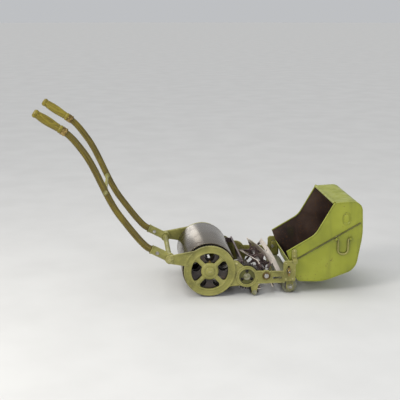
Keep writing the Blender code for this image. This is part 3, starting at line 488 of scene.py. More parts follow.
def turned(profile, sides=48, at=ORIGIN):
    """A solid turned about an axis along Y from points (radius, y). Radius 0 ends it on the axis,
    and a profile that never meets the axis is closed into a ring."""
    bm = bmesh.new()
    rings = []
    for radius, y in profile:
        if radius < 1e-6:
            rings.append([bm.verts.new((at[0], y, at[1]))])
        else:
            rings.append([bm.verts.new((x, y, z)) for x, z in circle(radius, at, sides)])
    pairs = list(zip(rings, rings[1:]))
    if all(len(ring) > 1 for ring in rings):
        pairs.append((rings[-1], rings[0]))
    for one, other in pairs:
        for k in range(sides):
            n = (k + 1) % sides
            corners = [one[k % len(one)], one[n % len(one)], other[n % len(other)], other[k % len(other)]]
            bm.faces.new(list(dict.fromkeys(corners)))
    return object_from(bm)


def rounded(corners, closed=True, step=12):
    """An outline through corners (x, z, radius), each rounded by an arc, or sharp without a radius."""
    points = []
    last = len(corners) - 1
    for index, (x, z, *rounding) in enumerate(corners):
        radius = rounding[0] if rounding else 0
        here = Vector((x, z))
        if radius == 0 or (not closed and index in (0, last)):
            points.append((x, z))
            continue
        back = (Vector(corners[index - 1][:2]) - here).normalized()
        ahead = (Vector(corners[(index + 1) % len(corners)][:2]) - here).normalized()
        half = back.angle(ahead) / 2
        start = here + back * radius / math.tan(half)
        end = here + ahead * radius / math.tan(half)
        centre = here + (back + ahead).normalized() * radius / math.sin(half)
        angle = math.atan2(start.y - centre.y, start.x - centre.x)
        turn = math.atan2(end.y - centre.y, end.x - centre.x) - angle
        turn = (turn + math.pi) % (2 * math.pi) - math.pi
        count = max(1, math.ceil(abs(math.degrees(turn)) / step))
        for k in range(count + 1):
            a = angle + turn * k / count
            points.append((centre.x + radius * math.cos(a), centre.y + radius * math.sin(a)))
    return points


def oblong(x0, x1, z0, z1, low=0, high=None, step=12):
    """A rectangle's outline, with its lower and upper corners rounded."""
    high = low if high is None else high
    return rounded([(x0, z0, low), (x1, z0, low), (x1, z1, high), (x0, z1, high)], step=step)


def solid(corners, sides=48, at=ORIGIN, half=False):
    """A solid turned from its outer corners (radius, y, rounding), with flat ends unless the last corner is
    on the axis. Half a bar stays open at its last corner, mid-mower, where its twin meets it."""
    line = [(0, corners[0][1]), *corners]
    if corners[-1][0] and not half:
        line.append((0, corners[-1][1]))
    return turned(rounded(line, closed=False, step=30), sides, at)


def bored(bore, corners, sides=48, at=ORIGIN, lip=0):
    """A ring turned from its outer corners (radius, y, rounding), around a bore with rounded lips."""
    line = [(bore, corners[0][1], lip), *corners, (bore, corners[-1][1], lip)]
    return turned(rounded(line, step=30), sides, at)


def sweep(line, radii, sides=16, closed=False):
    """A round bar along a line. Each vertex keeps its place on the straight, unbent bar for the grain."""
    bm = bmesh.new()
    layer = bm.verts.layers.float_vector.new("straight")
    count = len(line)
    line = [Vector(point) for point in line]
    side = None
    length = 0.0
    rings = []
    for index, point in enumerate(line):
        before = line[index - 1] if closed or index else line[index]
        after = line[(index + 1) % count] if closed or index < count - 1 else line[index]
        along = (after - before).normalized()
        if side is None:
            side = along.orthogonal().normalized()
        side = (side - along * side.dot(along)).normalized()
        other = along.cross(side)
        length += (point - line[index - 1]).length if index else 0.0
        radius = radii[index] if isinstance(radii, list) else radii
        ring = []
        for k in range(sides):
            a = 2 * math.pi * k / sides
            vert = bm.verts.new(point + (side * math.cos(a) + other * math.sin(a)) * radius)
            vert[layer] = (length, radius * math.cos(a), radius * math.sin(a))
            ring.append(vert)
        rings.append(ring)
    pairs = list(zip(rings, rings[1:]))
    if closed:
        pairs.append((rings[-1], rings[0]))
    for one, other in pairs:
        for k in range(sides):
            n = (k + 1) % sides
            bm.faces.new((one[k], one[n], other[n], other[k]))
    if not closed:
        bm.faces.new(rings[0])
        bm.faces.new(rings[-1])
    return object_from(bm)


def edged(item, width, segments=2, angle=32):
    """The piece with its sharp edges rounded."""
    item.data.shade_smooth()
    bevel = item.modifiers.new("bevel", "BEVEL")
    bevel.width = width
    bevel.segments = segments
    bevel.limit_method = "ANGLE"
    bevel.angle_limit = math.radians(angle)
    item.modifiers.new("flats", "WEIGHTED_NORMAL").keep_sharp = True
    return applied(item)


def joined(*items):
    """One object from several, without merging their surfaces."""
    bm = bmesh.new()
    for item in items:
        item.data.transform(item.matrix_basis)
        bm.from_mesh(item.data)
        bpy.data.objects.remove(item)
    mesh = bpy.data.meshes.new("shape")
    bm.to_mesh(mesh)
    bm.free()
    made = bpy.data.objects.new("shape", mesh)
    SCENE.collection.objects.link(made)
    return made


def cast(items, voxel=0.0012, rounds=4, keep=0.4):
    """One casting from overlapping solids, with soft edges and a small fillet where they meet."""
    item = joined(*items)
    remesh = item.modifiers.new("skin", "REMESH")
    remesh.mode = "VOXEL"
    remesh.voxel_size = voxel
    smooth = item.modifiers.new("soften", "SMOOTH")
    smooth.factor = 0.5
    smooth.iterations = rounds
    if keep < 1:
        item.modifiers.new("thin", "DECIMATE").ratio = keep
    return applied(item)


def moved(item, matrix):
    item.data.transform(matrix)
    if matrix.determinant() < 0:
        item.data.flip_normals()
    return item


def copied(item, matrix=None):
    twin = bpy.data.objects.new("shape", item.data.copy())
    SCENE.collection.objects.link(twin)
    return moved(twin, matrix) if matrix else twin


MIRROR = Matrix.Scale(-1, 4, Vector((0, 1, 0)))


def mirrored(item):
    return copied(item, MIRROR)


def towards(direction, origin):
    """Placement that turns -Y, along which a piece was built, to a direction and moves it to a point."""
    turn = Vector((0, -1, 0)).rotation_difference(Vector(direction)).to_matrix().to_4x4()
    return Matrix.Translation(origin) @ turn


def rivet(radius=0.0035, height=0.0018):
    """A snap head that stands on Y 0 and faces -Y."""
    profile = [(radius, 0.0012), (radius, -0.0002)]
    for k in range(1, 5):
        angle = math.pi / 2 * k / 4
        profile.append((radius * math.cos(angle), -0.0002 - height * math.sin(angle)))
    return turned([(0, 0.0012)] + profile, 14)


def rivets(places, direction=(0, -1, 0), radius=0.0035, height=0.0018):
    first = rivet(radius, height)
    heads = [copied(first, towards(direction, Vector(place))) for place in places]
    bpy.data.objects.remove(first)
    return heads


def hexagon(radius, y0, y1, at=ORIGIN):
    """A hexagonal head or nut with rounded corners."""
    return edged(plate(circle(radius, at, 6, 30), y0, y1), 0.0007)


def washer(inner, outer, y0, y1, at=ORIGIN):
    chamfer = 0.0004
    face = outer - chamfer
    return bored(inner, [(face, y0), (outer, y0 + chamfer), (outer, y1 - chamfer), (face, y1)], 32, at)


def nut(radius, bore, rim, y0, y1, y2, at=ORIGIN):
    """A hexagon from y0 to y1 on a washer from y1 to y2."""
    return joined(hexagon(radius, y0, y1, at), washer(bore, rim, y1, y2, at))


def thread(radius, y0, y1, at=ORIGIN, pitch=0.0014):
    """A screwed rod end: rings stand for the thread."""
    count = max(2, round(abs(y1 - y0) / pitch))
    profile = [(0, y0)]
    for k in range(count):
        for share, depth in ((0.05, 0.10), (0.5, 0.0), (0.95, 0.10)):
            profile.append((radius * (1 - depth), y0 + (y1 - y0) * (k + share) / count))
    profile.append((0, y1))
    return turned(profile, 20, at)


def keep_straight(item, at=ORIGIN):
    """Keep a turned piece's own coordinates, with its axis first, for the grain of its wood."""
    straight = item.data.attributes.new("straight", "FLOAT_VECTOR", "POINT")
    straight.data.foreach_set("vector", [c for v in item.data.vertices
                                         for c in (v.co.y, v.co.x - at[0], v.co.z - at[1])])
    return item


def piece(parts, angle):
    """One smoothly shaded object from a piece's parts, with edges sharper than the angle kept sharp."""
    item = joined(*parts) if len(parts) > 1 else parts[0]
    item.data.shade_smooth()
    item.data.set_sharp_from_angle(angle=math.radians(angle))
    return item


def hang(item, name, look, body, node):
    """Place a piece in the row frame, give it its material and hang it on its CAD body."""
    moved(item, Matrix.Translation((AXLE_X, 0, 0)))
    item.name = name
    item.data.name = name
    item.data.materials.clear()
    item.data.materials.append(LOOKS[look])
    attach(item, body)
    if node:
        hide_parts(node)
    return item


def finish(parts, name, look, body, node=None, angle=38):
    """Finish a piece that stands in for a CAD node."""
    return hang(piece(parts, angle), name, look, body, node)


def finish_pair(parts, name, look, body, node=None, angle=38):
    """Finish a right-hand piece and its mirrored left-hand twin. node is the CAD name without its side."""
    item = piece(parts, angle)
    pair = {"right": item, "left": mirrored(item)}
    return [hang(made, f"{name}_{side}", look, body.replace("right", side), node and f"{node}_{side}")
            for side, made in pair.items()]


# ---------------------------------------------------------------- side frames

FRAME_BACK = -0.2205
RIB_ROOT = -0.2240
SMALL_RIM = 0.0455
SPOKE_TURN = 45
DEFLECTOR_BOLT = (0.130, 0.164)


def spun(points, degrees, at=ORIGIN):
    """Points of the side view turned about the origin, then moved by a place."""
    cos = math.cos(math.radians(degrees))
    sin = math.sin(math.radians(degrees))
    return [(at[0] + x * cos - z * sin, at[1] + x * sin + z * cos) for x, z in points]


def spoke_window(quarter):
    """Rounded window between two spokes of the side wheel, some quarter turns from the front one."""
    outer, outer_fillet = 0.0905, 0.0150
    inner, inner_fillet = 0.0400, 0.0080
    half_spoke = 0.0105

    def fillet_place(centre_radius, fillet):
        """Centre of a fillet between a spoke along +X and a circle, and its angle there."""
        across = half_spoke + fillet
        run = math.sqrt(centre_radius ** 2 - across ** 2)
        return (run, across), math.degrees(math.atan2(across, run))

    at_hub, hub_angle = fillet_place(inner + inner_fillet, inner_fillet)
    at_rim, rim_angle = fillet_place(outer - outer_fillet, outer_fillet)
    side = arc(inner_fillet, at_hub, hub_angle + 180, 270, 6) + arc(outer_fillet, at_rim, -90, rim_angle, 6)
    lower = spun(side, -SPOKE_TURN)
    upper = [(x, -z) for x, z in reversed(lower)]
    rim_start = math.degrees(math.atan2(lower[-1][1], lower[-1][0]))
    hub_start = math.degrees(math.atan2(upper[-1][1], upper[-1][0]))
    rim = arc(outer, ORIGIN, rim_start, -rim_start, 10)[1:-1]
    hub = arc(inner, ORIGIN, hub_start, -hub_start, 6)[1:-1]
    return spun(lower + rim + upper + hub, 90 * quarter, ROLLER)


def rib(start, end, width, y0, y1=RIB_ROOT):
    """A raised rib between two points of the side view."""
    start, end = Vector(start), Vector(end)
    side = (end - start).normalized().orthogonal() * width / 2
    return plate([tuple(p) for p in (start - side, end - side, end + side, start + side)], y0, y1)


def spoke_ribs(count, inner, outer, start, width, y0, y1):
    ends = zip(circle(inner, ROLLER, count, start), circle(outer, ROLLER, count, start))
    return [rib(near, far, width, y0, y1) for near, far in ends]


def beaded_ring(outer, inner, face, back, bead, groove, sides, at):
    """A ring with a raised bead along both edges."""
    floor = face + groove
    return bored(inner, [(inner, face), (inner + bead, face), (inner + bead + 0.001, floor),
                         (outer - bead - 0.001, floor), (outer - bead, face), (outer, face), (outer, back)],
                 sides, at)


def wheel_parts():
    """The big spoked ring around the roller's axle."""
    windows = [spoke_window(quarter) for quarter in range(4)]
    return [plate(circle(0.121, ROLLER, 96), -0.2292, -0.2210, windows + [circle(0.020, ROLLER)]),
            beaded_ring(0.1250, 0.0895, -0.2326, -0.2202, 0.0065, 0.0022, 120, ROLLER),
            bored(AXLE_BORE, [(0.0370, -0.2185), (0.0420, -0.2215), (0.0420, -0.2300), (0.0375, -0.2335),
                              (0.0355, -0.2360)], 64, ROLLER),
            *spoke_ribs(4, 0.034, 0.094, SPOKE_TURN, 0.0095, -0.2316, -0.2230)]


def arm_parts():
    """The small ring with its web, the slotted arm and the reel's boss with a seat for its set screw."""
    slot = oblong(0.306, 0.352, 0.083, 0.093, 0.0048)
    web = [(0.088, 0.190), (0.136, 0.176), *arc(SMALL_RIM, IDLER, 100, 262, 14),
           (0.096, 0.050), (0.104, 0.100), (0.104, 0.160)]
    arm = arc(SMALL_RIM, IDLER, -49, 37, 8) + [(0.368, 0.120), (0.368, 0.063)]
    return [beaded_ring(0.0525, 0.0383, -0.2336, -0.2195, 0.0042, 0.0018, 72, IDLER),
            plate(web, -0.2280, FRAME_BACK),
            rib((0.084, 0.1945), (0.150, 0.1475), 0.0065, -0.2312),
            rib((0.098, 0.0535), (0.150, 0.0620), 0.0065, -0.2312),
            plate(arm, -0.2300, FRAME_BACK, [circle(BUSH_SEAT, REEL), slot]),
            plate(oblong(0.3025, 0.3555, 0.0795, 0.0965, 0.007), -0.2318, RIB_ROOT, [slot]),
            rib((0.214, 0.1215), (0.366, 0.1180), 0.0060, -0.2322),
            rib((0.216, 0.0630), (0.366, 0.0640), 0.0045, -0.2316),
            bored(BUSH_SEAT, [(0.0220, -0.2190), (0.0250, -0.2240), (0.0250, -0.2300), (0.0222, -0.2336)],
                  48, REEL),
            plate(oblong(REEL[0] - 0.012, REEL[0] + 0.012, 0.112, 0.1285, 0.002), -0.2338, -0.2195)]


def horn_parts():
    """The upright front end, with the slot in which the front roller's height is set."""
    outline = oblong(0.359, 0.419, 0.068, HORN_TOP, 0.007, 0.014)
    inner = oblong(0.3645, 0.4135, 0.0735, 0.1655, 0.004, 0.010)
    slot = oblong(CLAMP[0] - 0.0044, CLAMP[0] + 0.0044, 0.0935, 0.1465, 0.0043, step=30)
    return [plate(outline, -0.2304, FRAME_BACK, [slot]), plate(outline, -0.2318, RIB_ROOT, [inner])]


def ear_parts():
    """The rear ear, which carries the cross bar."""
    return [plate([(-0.066, 0.232), (-0.112, 0.160), *arc(0.0165, BAR, -80, 100, 10)], -0.2296, -0.2212),
            rib((-0.060, 0.2330), (-0.193, 0.2105), 0.0062, -0.2322),
            rib((-0.104, 0.1600), (-0.188, 0.1755), 0.0062, -0.2322),
            bored(0.0084, [(0.0195, -0.2193), (0.0212, -0.2215), (0.0212, -0.2310), (0.0195, -0.2338)],
                  48, BAR)]


def lug_parts():
    """The lug under the small ring, which carries the knife bar, and the boss for the deflector's bolt."""
    lug = [(0.1985, 0.0560), (0.2120, 0.0645), (0.240, 0.066), (0.2310, 0.0255), (0.2050, 0.0255)]
    return [plate(lug, -0.2300, -0.2208),
            bored(0.0064, [(0.0125, -0.2202), (0.0130, -0.2230), (0.0130, -0.2300), (0.0120, -0.2323)],
                  36, KNIFE),
            solid([(0.0062, -0.2290), (0.0072, -0.2270), (0.0072, -0.2042)], 24, DEFLECTOR_BOLT)]


def build_side_frames():
    casting = cast(wheel_parts() + arm_parts() + horn_parts() + ear_parts() + lug_parts())
    finish_pair([casting], "side_casting", "green_iron", "frame", "side_frame", angle=70)

    bolts = rivets([(DEFLECTOR_BOLT[0], -0.2290, DEFLECTOR_BOLT[1])], radius=0.0050, height=0.0022)
    bolts += rivets([(x, -0.2300, z) for x, z in ((0.372, 0.0800), (0.372, 0.1580), (0.406, 0.0800))],
                    radius=0.0032, height=0.0016)
    finish_pair(bolts, "frame_rivets", "green_iron", "frame")

    cap = solid([(0.0230, -0.2363, 0.0004), (0.0226, -0.2392, 0.0010), (0.0195, -0.2412, 0.0015),
                 (0.0120, -0.2438, 0.0040), (0, -0.2440)], 48, ROLLER)
    slot_bar = oblong(-0.0085, 0.0085, ROLLER_RADIUS - 0.0012, ROLLER_RADIUS + 0.0012)
    finish_pair([cap, edged(plate(slot_bar, -0.2446, -0.2425), 0.0004)], "bearing_cap", "green_iron", "frame",
                "roller_cap")

    cup = solid([(0.0035, 0.0060, 0.0003), (0.0035, -0.0010, 0.0005), (0.0062, -0.0018, 0.0008),
                 (0.0062, -0.0085, 0.0020), (0.0030, -0.0112, 0.0012), (0, -0.0115)], 24)
    cup = moved(cup, towards(UP, (0, -0.2265, ROLLER_RADIUS + 0.0410)))
    finish_pair([cup], "oil_cup", "brass", "frame")

    cover = solid([(0.0120, 0.2290, 0.0010), (0.0135, 0.2265, 0.0010), (0.0300, 0.2268, 0.0015),
                   (0.0381, 0.2285, 0.0006), (0.0381, 0.2215, 0.0004)], 64, IDLER)
    heads = rivets([(x, 0.2270, z) for x, z in circle(0.0245, IDLER, 3, 30)], (0, 1, 0), 0.0036, 0.0018)
    finish([cover, *heads], "gear_ring_cover", "green_iron", "frame", "ring_cover_left")


def build_cross_bar():
    bar = solid([(0.0079, -0.2330, 0.0002), (0.0079, -0.2190, 0.0002), (0.0155, -0.2190, 0.0010),
                 (0.0155, -0.2155, 0.0010), (0.0128, -0.2150, 0.0006), (0.0128, -0.1800, 0.0003),
                 (0.0155, -0.1795, 0.0010), (0.0155, -0.1740, 0.0010), (0.0128, -0.1735, 0.0010),
                 (0.0121, 0)], 40, BAR, half=True)
    half = joined(bar, nut(0.0140, 0.0081, 0.0170, -0.2420, -0.2352, -0.2338, BAR),
                  thread(0.0078, -0.2445, -0.2330, BAR))
    finish([mirrored(half), half], "cross_bar", "green_iron", "frame", "rear_cross_bar")


def build_deflector():
    """Plate behind the reel: a soft curl at the top, a stiffening fold and riveted end flanges."""
    thick = 0.0022
    line = arc(0.092, REEL, 222, 187, 12)
    line += rounded([(0.1840, 0.0905), (0.1775, 0.128, 0.060), (0.1638, 0.1750)], closed=False, step=4)[1:]
    path = [Vector(p) for p in line + arc(0.0052, (0.1579, 0.1766), 15, 290, 14)]
    left = []
    for index, point in enumerate(path):
        ahead = path[min(index + 1, len(path) - 1)] - path[max(index - 1, 0)]
        left.append(tuple(point + ahead.normalized().orthogonal() * thick))
    skin = edged(plate([tuple(p) for p in path] + left[::-1], -0.2032, 0.2032), 0.0006)
    flange = rounded([(0.121, 0.152, 0.006), (0.169, 0.146, 0.003), (0.162, 0.1735, 0.003),
                      (0.121, 0.176, 0.006)])
    flanges = [edged(plate(flange, y0, y0 + thick), 0.0005) for y0 in (-0.2035, 0.2013)]
    row = [(0.1699, -0.18 + 0.06 * k, 0.1520) for k in range(7)]
    heads = rivets(row, (-0.957, 0, -0.289), 0.0032, 0.0015)
    for side in (-1, 1):
        heads += rivets([(x, side * 0.2012, z) for x, z in (DEFLECTOR_BOLT, (0.150, 0.156), (0.150, 0.168))],
                        (0, -side, 0), 0.0036, 0.0020)
    finish([skin, *flanges, *heads], "deflector", "plate_iron", "frame", "deflector_plate", 50)


def build_frame_fittings():
    # The carrier's dark olive is partly oily iron and partly painted shade for the small ring's recess.
    holes = [circle(0.0085, place, 24) for place in circle(0.0265, IDLER, 3, 90)]
    holes.append(circle(STUD_BORE, IDLER))
    disc = edged(plate(circle(0.0380, IDLER, 64), -0.2270, -0.2215, holes), 0.0007)
    boss = bored(STUD_BORE, [(0.0165, -0.2205, 0.0010), (0.0165, -0.2290, 0.0015)], 40, IDLER, 0.0003)
    finish([disc, boss], "gear_carrier", "oily_green", "frame", "idler_carrier")

    stud = solid([(0.0100, -0.2360, 0.0004), (0.0100, -0.2057, 0.0002), (0.0170, -0.2057, 0.0005),
                  (0.0170, -0.2037, 0.0005)], 40, IDLER)
    finish([stud, thread(0.0094, -0.2387, -0.2355, IDLER)], "gear_stud", "nut_green", "frame", "idler_stud")
    stud_nut = nut(0.0155, 0.0102, 0.0165, -0.2362, -0.2303, -0.2291, IDLER)
    finish([stud_nut], "gear_stud_nut", "nut_green", "frame")

    bush = bored(SHAFT_BORE, [(0.0164, -0.2190, 0.0004), (0.0164, -0.2344, 0.0002), (0.0200, -0.2344, 0.0006),
                              (0.0200, -0.2370, 0.0012), (0.0170, -0.2385, 0.0010)], 48, REEL, 0.0004)
    finish_pair([bush], "reel_bush", "oily_brass", "frame", "reel_bearing")

    head = edged(plate(oblong(-0.0065, 0.0065, -0.0065, 0.0065), -0.0080, 0.0), 0.0009)
    screw = moved(joined(head, thread(0.0034, 0.0110, -0.0005)), towards(UP, (REEL[0], -0.2262, 0.1293)))
    finish_pair([screw], "set_screw", "shaft_steel", "frame", "bearing_set_screw")

    bolt = solid([(0.0052, -0.2390, 0.0012), (0.0060, -0.2325, 0.0004), (0.0060, -0.2003, 0.0010),
                  (0, -0.2000)], 28, KNIFE)
    pivot_nut = nut(0.0110, 0.0062, 0.0125, -0.2388, -0.2338, -0.2326, KNIFE)
    finish_pair([pivot_nut, bolt], "pivot_bolt", "nut_green", "frame", "knife_pivot_bolt")


# ---------------------------------------------------------------- gears and rear roller

MODULE = 0.004
MAIN_TEETH = 60
IDLER_TEETH = 32
PINION_TEETH = 15
PRESSURE_ANGLE = math.radians(20)
GEAR_Y0 = -0.218
GEAR_Y1 = -0.206


def involute(angle):
    return math.tan(angle) - angle


def gear_outline(teeth, phase, at):
    """Tooth flanks follow the same involute as the model's gears, with rounded tips and roots."""
    pitch = MODULE * teeth / 2
    base = pitch * math.cos(PRESSURE_ANGLE)
    tip = pitch + 0.9 * MODULE
    root = pitch - 1.2 * MODULE
    half_at_pitch = (math.pi * MODULE / 2 - 0.0007) / (2 * pitch)

    def half_angle(radius):
        roll = math.acos(min(1.0, base / max(radius, base)))
        return half_at_pitch + involute(PRESSURE_ANGLE) - involute(roll)

    low = max(root + 0.0008, base)
    flank = [(root, half_angle(root) + 0.0009 / root), (root + 0.0008, half_angle(root))]
    flank += [(radius, half_angle(radius)) for radius in (low + (tip - low) * k / 3 for k in (0.25, 1, 2))]
    flank += [(tip - 0.0004, half_angle(tip)), (tip, half_angle(tip) - 0.0004 / tip)]
    tooth = [(radius, -half) for radius, half in flank] + [(radius, half) for radius, half in reversed(flank)]
    points = []
    for index in range(teeth):
        middle = phase + 2 * math.pi * index / teeth
        points += [(at[0] + radius * math.cos(middle + turn), at[1] + radius * math.sin(middle + turn))
                   for radius, turn in tooth]
    return points


def gear(teeth, phase, at, bore, sides=32, windows=()):
    """A toothed disc with its bore and windows."""
    outline = gear_outline(teeth, phase, at)
    return edged(plate(outline, GEAR_Y0, GEAR_Y1, [*windows, circle(bore, at, sides)]), 0.0005)


def build_gears():
    to_idler = math.atan2(IDLER[1] - ROLLER[1], IDLER[0])
    to_reel = math.atan2(REEL[1] - IDLER[1], REEL[0] - IDLER[0])
    idler_phase = to_idler + math.pi + math.pi / IDLER_TEETH
    pinion_phase = to_reel + math.pi + (to_reel - idler_phase) * IDLER_TEETH / PINION_TEETH
    pinion_phase += math.pi / PINION_TEETH

    windows = [circle(0.026, place, 40) for place in circle(0.070, ROLLER, 5, 90)]
    rim = bored(0.1010, [(0.1095, -0.2196, 0.001), (0.1095, -0.2172, 0.001)], 96, ROLLER, 0.001)
    hub = bored(AXLE_BORE, [(0.0270, -0.2184, 0.0015), (0.0300, -0.2120, 0.0040), (0.0270, -0.1903, 0.0015)],
                56, ROLLER, 0.0004)
    wheel = gear(MAIN_TEETH, to_idler, ROLLER, 0.0125, windows=windows)
    finish([wheel, rim, hub], "roller_gear", "dark_iron", "roller", "main_gear")

    hub = bored(STUD_BORE, [(0.0190, -0.2192, 0.0010), (0.0220, -0.2170, 0.0010), (0.0220, -0.2075, 0.0010),
                            (0.0190, -0.2062, 0.0008)], 48, IDLER, 0.0003)
    wheel = gear(IDLER_TEETH, idler_phase, IDLER, STUD_BORE)
    finish([wheel, hub], "idle_gear", "dark_iron", "idler", "idler_gear")

    hub = bored(SHAFT_BORE, [(0.0170, -0.2180, 0.0008), (0.0180, -0.2050, 0.0010), (0.0180, -0.2016, 0.0010)],
                40, REEL, 0.0003)
    wheel = gear(PINION_TEETH, pinion_phase, REEL, SHAFT_BORE, 28)
    finish([wheel, hub], "reel_gear", "dark_iron", "reel", "reel_pinion")


def build_roller():
    radius, half = ROLLER_RADIUS, 0.1980
    shell = bored(radius - 0.0060, [(radius - 0.0008, -half, 0.0006), (radius, 0.0020 - half, 0.0020),
                                    (radius, half - 0.0020, 0.0020), (radius - 0.0008, half, 0.0006)],
                  160, ROLLER, 0.0010)
    finish([shell], "drum", "roller_steel", "roller", "roller_shell")

    holes = [circle(0.027, place, 36) for place in circle(0.078, ROLLER, 5, 90)]
    holes.append(circle(AXLE_BORE, ROLLER))
    disc = edged(plate(circle(0.1245, ROLLER, 96), -0.1875, -0.1785, holes), 0.0012)
    rim = turned(rounded([(0.1140, -0.1785, 0.001), (0.1140, -0.1930, 0.0025), (0.1246, -0.1930, 0.001),
                          (0.1246, -0.1785, 0.001)], step=30), 96, ROLLER)
    hub = bored(AXLE_BORE, [(0.0270, -0.1900, 0.0025), (0.0310, -0.1850, 0.0030), (0.0270, -0.1720, 0.0020)],
                56, ROLLER, 0.0004)
    spokes = [edged(spoke, 0.0015) for spoke in spoke_ribs(5, 0.026, 0.116, 126, 0.0080, -0.1905, -0.1860)]
    finish_pair([disc, rim, hub, *spokes], "drum_end", "dark_iron", "roller", "roller_end_disc")

    axle = solid([(0.0120, -0.2355, 0.0010), (0.0120, 0.2355, 0.0010)], 40, ROLLER)
    collar = bored(0.0121, [(0.0200, 0.2000, 0.0015), (0.0200, 0.2150, 0.0015)], 40, ROLLER, 0.0004)
    finish([axle, collar], "axle", "shaft_steel", "roller", "roller_axle")


# ---------------------------------------------------------------- reel

REEL_RADIUS = 0.080
BLADE_INNER = 0.058
BLADE_HALF = 0.0022
BLADE_COUNT = 6
BLADE_TWIST = math.radians(55)
REEL_HALF = 0.200
SPIDER_Y = [-0.190, -0.190 / 3, 0.190 / 3, 0.190]


def blade_frame(y, blade):
    """A blade's angle at a section of the reel, its direction away from the axis and across its thickness."""
    angle = 2 * math.pi * blade / BLADE_COUNT + BLADE_TWIST * (y + REEL_HALF) / (2 * REEL_HALF)
    out = Vector((math.cos(angle), 0, math.sin(angle)))
    return angle, out, Vector((-out.z, 0, out.x))


def reel_blade(blade, steps=72):
    """A twisted steel blade: full thickness at the root, ground to a narrow land at the cutting edge."""
    section = ((BLADE_INNER + 0.0005, -BLADE_HALF), (0.0760, -BLADE_HALF), (REEL_RADIUS - 0.0003, -0.0014),
               (REEL_RADIUS, -0.0010), (REEL_RADIUS, 0.0019), (REEL_RADIUS - 0.0004, BLADE_HALF),
               (BLADE_INNER + 0.0005, BLADE_HALF), (BLADE_INNER, 0.0017), (BLADE_INNER, -0.0017))
    bm = bmesh.new()
    rings = []
    for step in range(steps + 1):
        y = -REEL_HALF + 2 * REEL_HALF * step / steps
        _, out, side = blade_frame(y, blade)
        centre = Vector((REEL[0], y, REEL[1]))
        rings.append([bm.verts.new(centre + side * across + out * math.sqrt(radius ** 2 - across ** 2))
                      for radius, across in section])
    for one, other in zip(rings, rings[1:]):
        for k in range(len(section)):
            n = (k + 1) % len(section)
            bm.faces.new((one[k], one[n], other[n], other[k]))
    bm.faces.new(rings[0])
    bm.faces.new(rings[-1])
    return object_from(bm)


def spider(y):
    """Cast star: six tapered arms with waisted sides on a hub, each ending in a pad riveted to its blade."""
    sixth = math.pi / 3
    arm = ((0.0574, -0.095), (0.0574, 0.095), (0.0400, 0.135), (0.0270, 0.300), (0.0245, sixth / 2),
           (0.0270, sixth - 0.300), (0.0400, sixth - 0.135))
    centre = Vector((REEL[0], y, REEL[1]))
    outline = []
    pads = []
    for blade in range(BLADE_COUNT):
        middle, out, side = blade_frame(y, blade)
        outline += [(REEL[0] + radius * math.cos(middle + angle), REEL[1] + radius * math.sin(middle + angle))
                    for radius, angle in arm]
        pad = edged(plate(oblong(-0.0075, 0.0075, 0.0480, 0.0700), -0.0015, 0.0015), 0.0008)
        turn = Matrix((Vector((0, 1, 0)), side, out)).transposed().to_4x4()
        pads.append(moved(pad, Matrix.Translation(centre - side * 0.0036) @ turn))
        for along, radius in ((-0.0035, 0.0625), (0.0035, 0.0665)):
            spot = centre + out * radius + Vector((0, along, 0))
            pads += rivets([spot - side * 0.0050], tuple(-side), 0.0024, 0.0013)
            pads += rivets([spot + side * BLADE_HALF], tuple(side), 0.0024, 0.0013)
    star = edged(plate(outline, y - 0.003, y + 0.003, [circle(SHAFT_BORE, REEL, 28)]), 0.0010)
    hub = bored(SHAFT_BORE, [(0.0180, y - 0.009, 0.0018), (0.0190, y, 0.010), (0.0180, y + 0.009, 0.0018)],
                40, REEL, 0.0004)
    return [star, hub, *pads]


def build_reel():
    shaft = solid([(0.0110, -0.2405, 0.0012), (0.0110, 0.2405, 0.0012)], 36, REEL)
    collar = bored(0.0111, [(0.0165, 0.2060, 0.0010), (0.0165, 0.2160, 0.0010)], 36, REEL, 0.0004)
    finish([shaft, collar], "reel_rod", "shaft_steel", "reel", "reel_shaft")
    for blade in range(BLADE_COUNT):
        finish([reel_blade(blade)], f"cutter_{blade + 1}", "blade_steel", "reel", f"reel_blade_{blade + 1}")
    for index, y in enumerate(SPIDER_Y):
        finish(spider(y), f"reel_star_{index + 1}", "plate_iron", "reel", f"reel_spider_{index + 1}")


def build_knife_bar():
    outline = [(-0.018, -0.0065), (0.021, -0.0065), (0.0215, 0.0065), (-0.012, 0.0065), (-0.018, 0.001)]
    bar = edged(plate([(KNIFE[0] + x, KNIFE[1] + z) for x, z in outline], -0.2194, 0.2194), 0.0012)
    finish([bar], "bed_bar", "dark_iron", "knife_bar", "knife_bar")

    low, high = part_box("bottom_blade")
    front, back, top = high.x - AXLE_X, low.x - AXLE_X, high.z
    outline = [(back, low.z), (front - 0.0012, low.z), (front, top - 0.0006), (front - 0.0003, top),
               (back + 0.0008, top), (back, top - 0.0008)]
    blade = edged(plate(outline, -0.2010, 0.2010), 0.0003)
    screws = []
    for k in range(7):
        head = solid([(0.0045, 0.001), (0.0048, -0.0006), (0.0040, -0.0011), (0, -0.0012)], 20)
        screws.append(moved(head, towards(UP, (back + 0.0085, -0.174 + 0.058 * k, top + 0.0001))))
    finish([blade, *screws], "bed_knife", "blade_steel", "knife_bar", "bottom_blade")


# ---------------------------------------------------------------- front roller

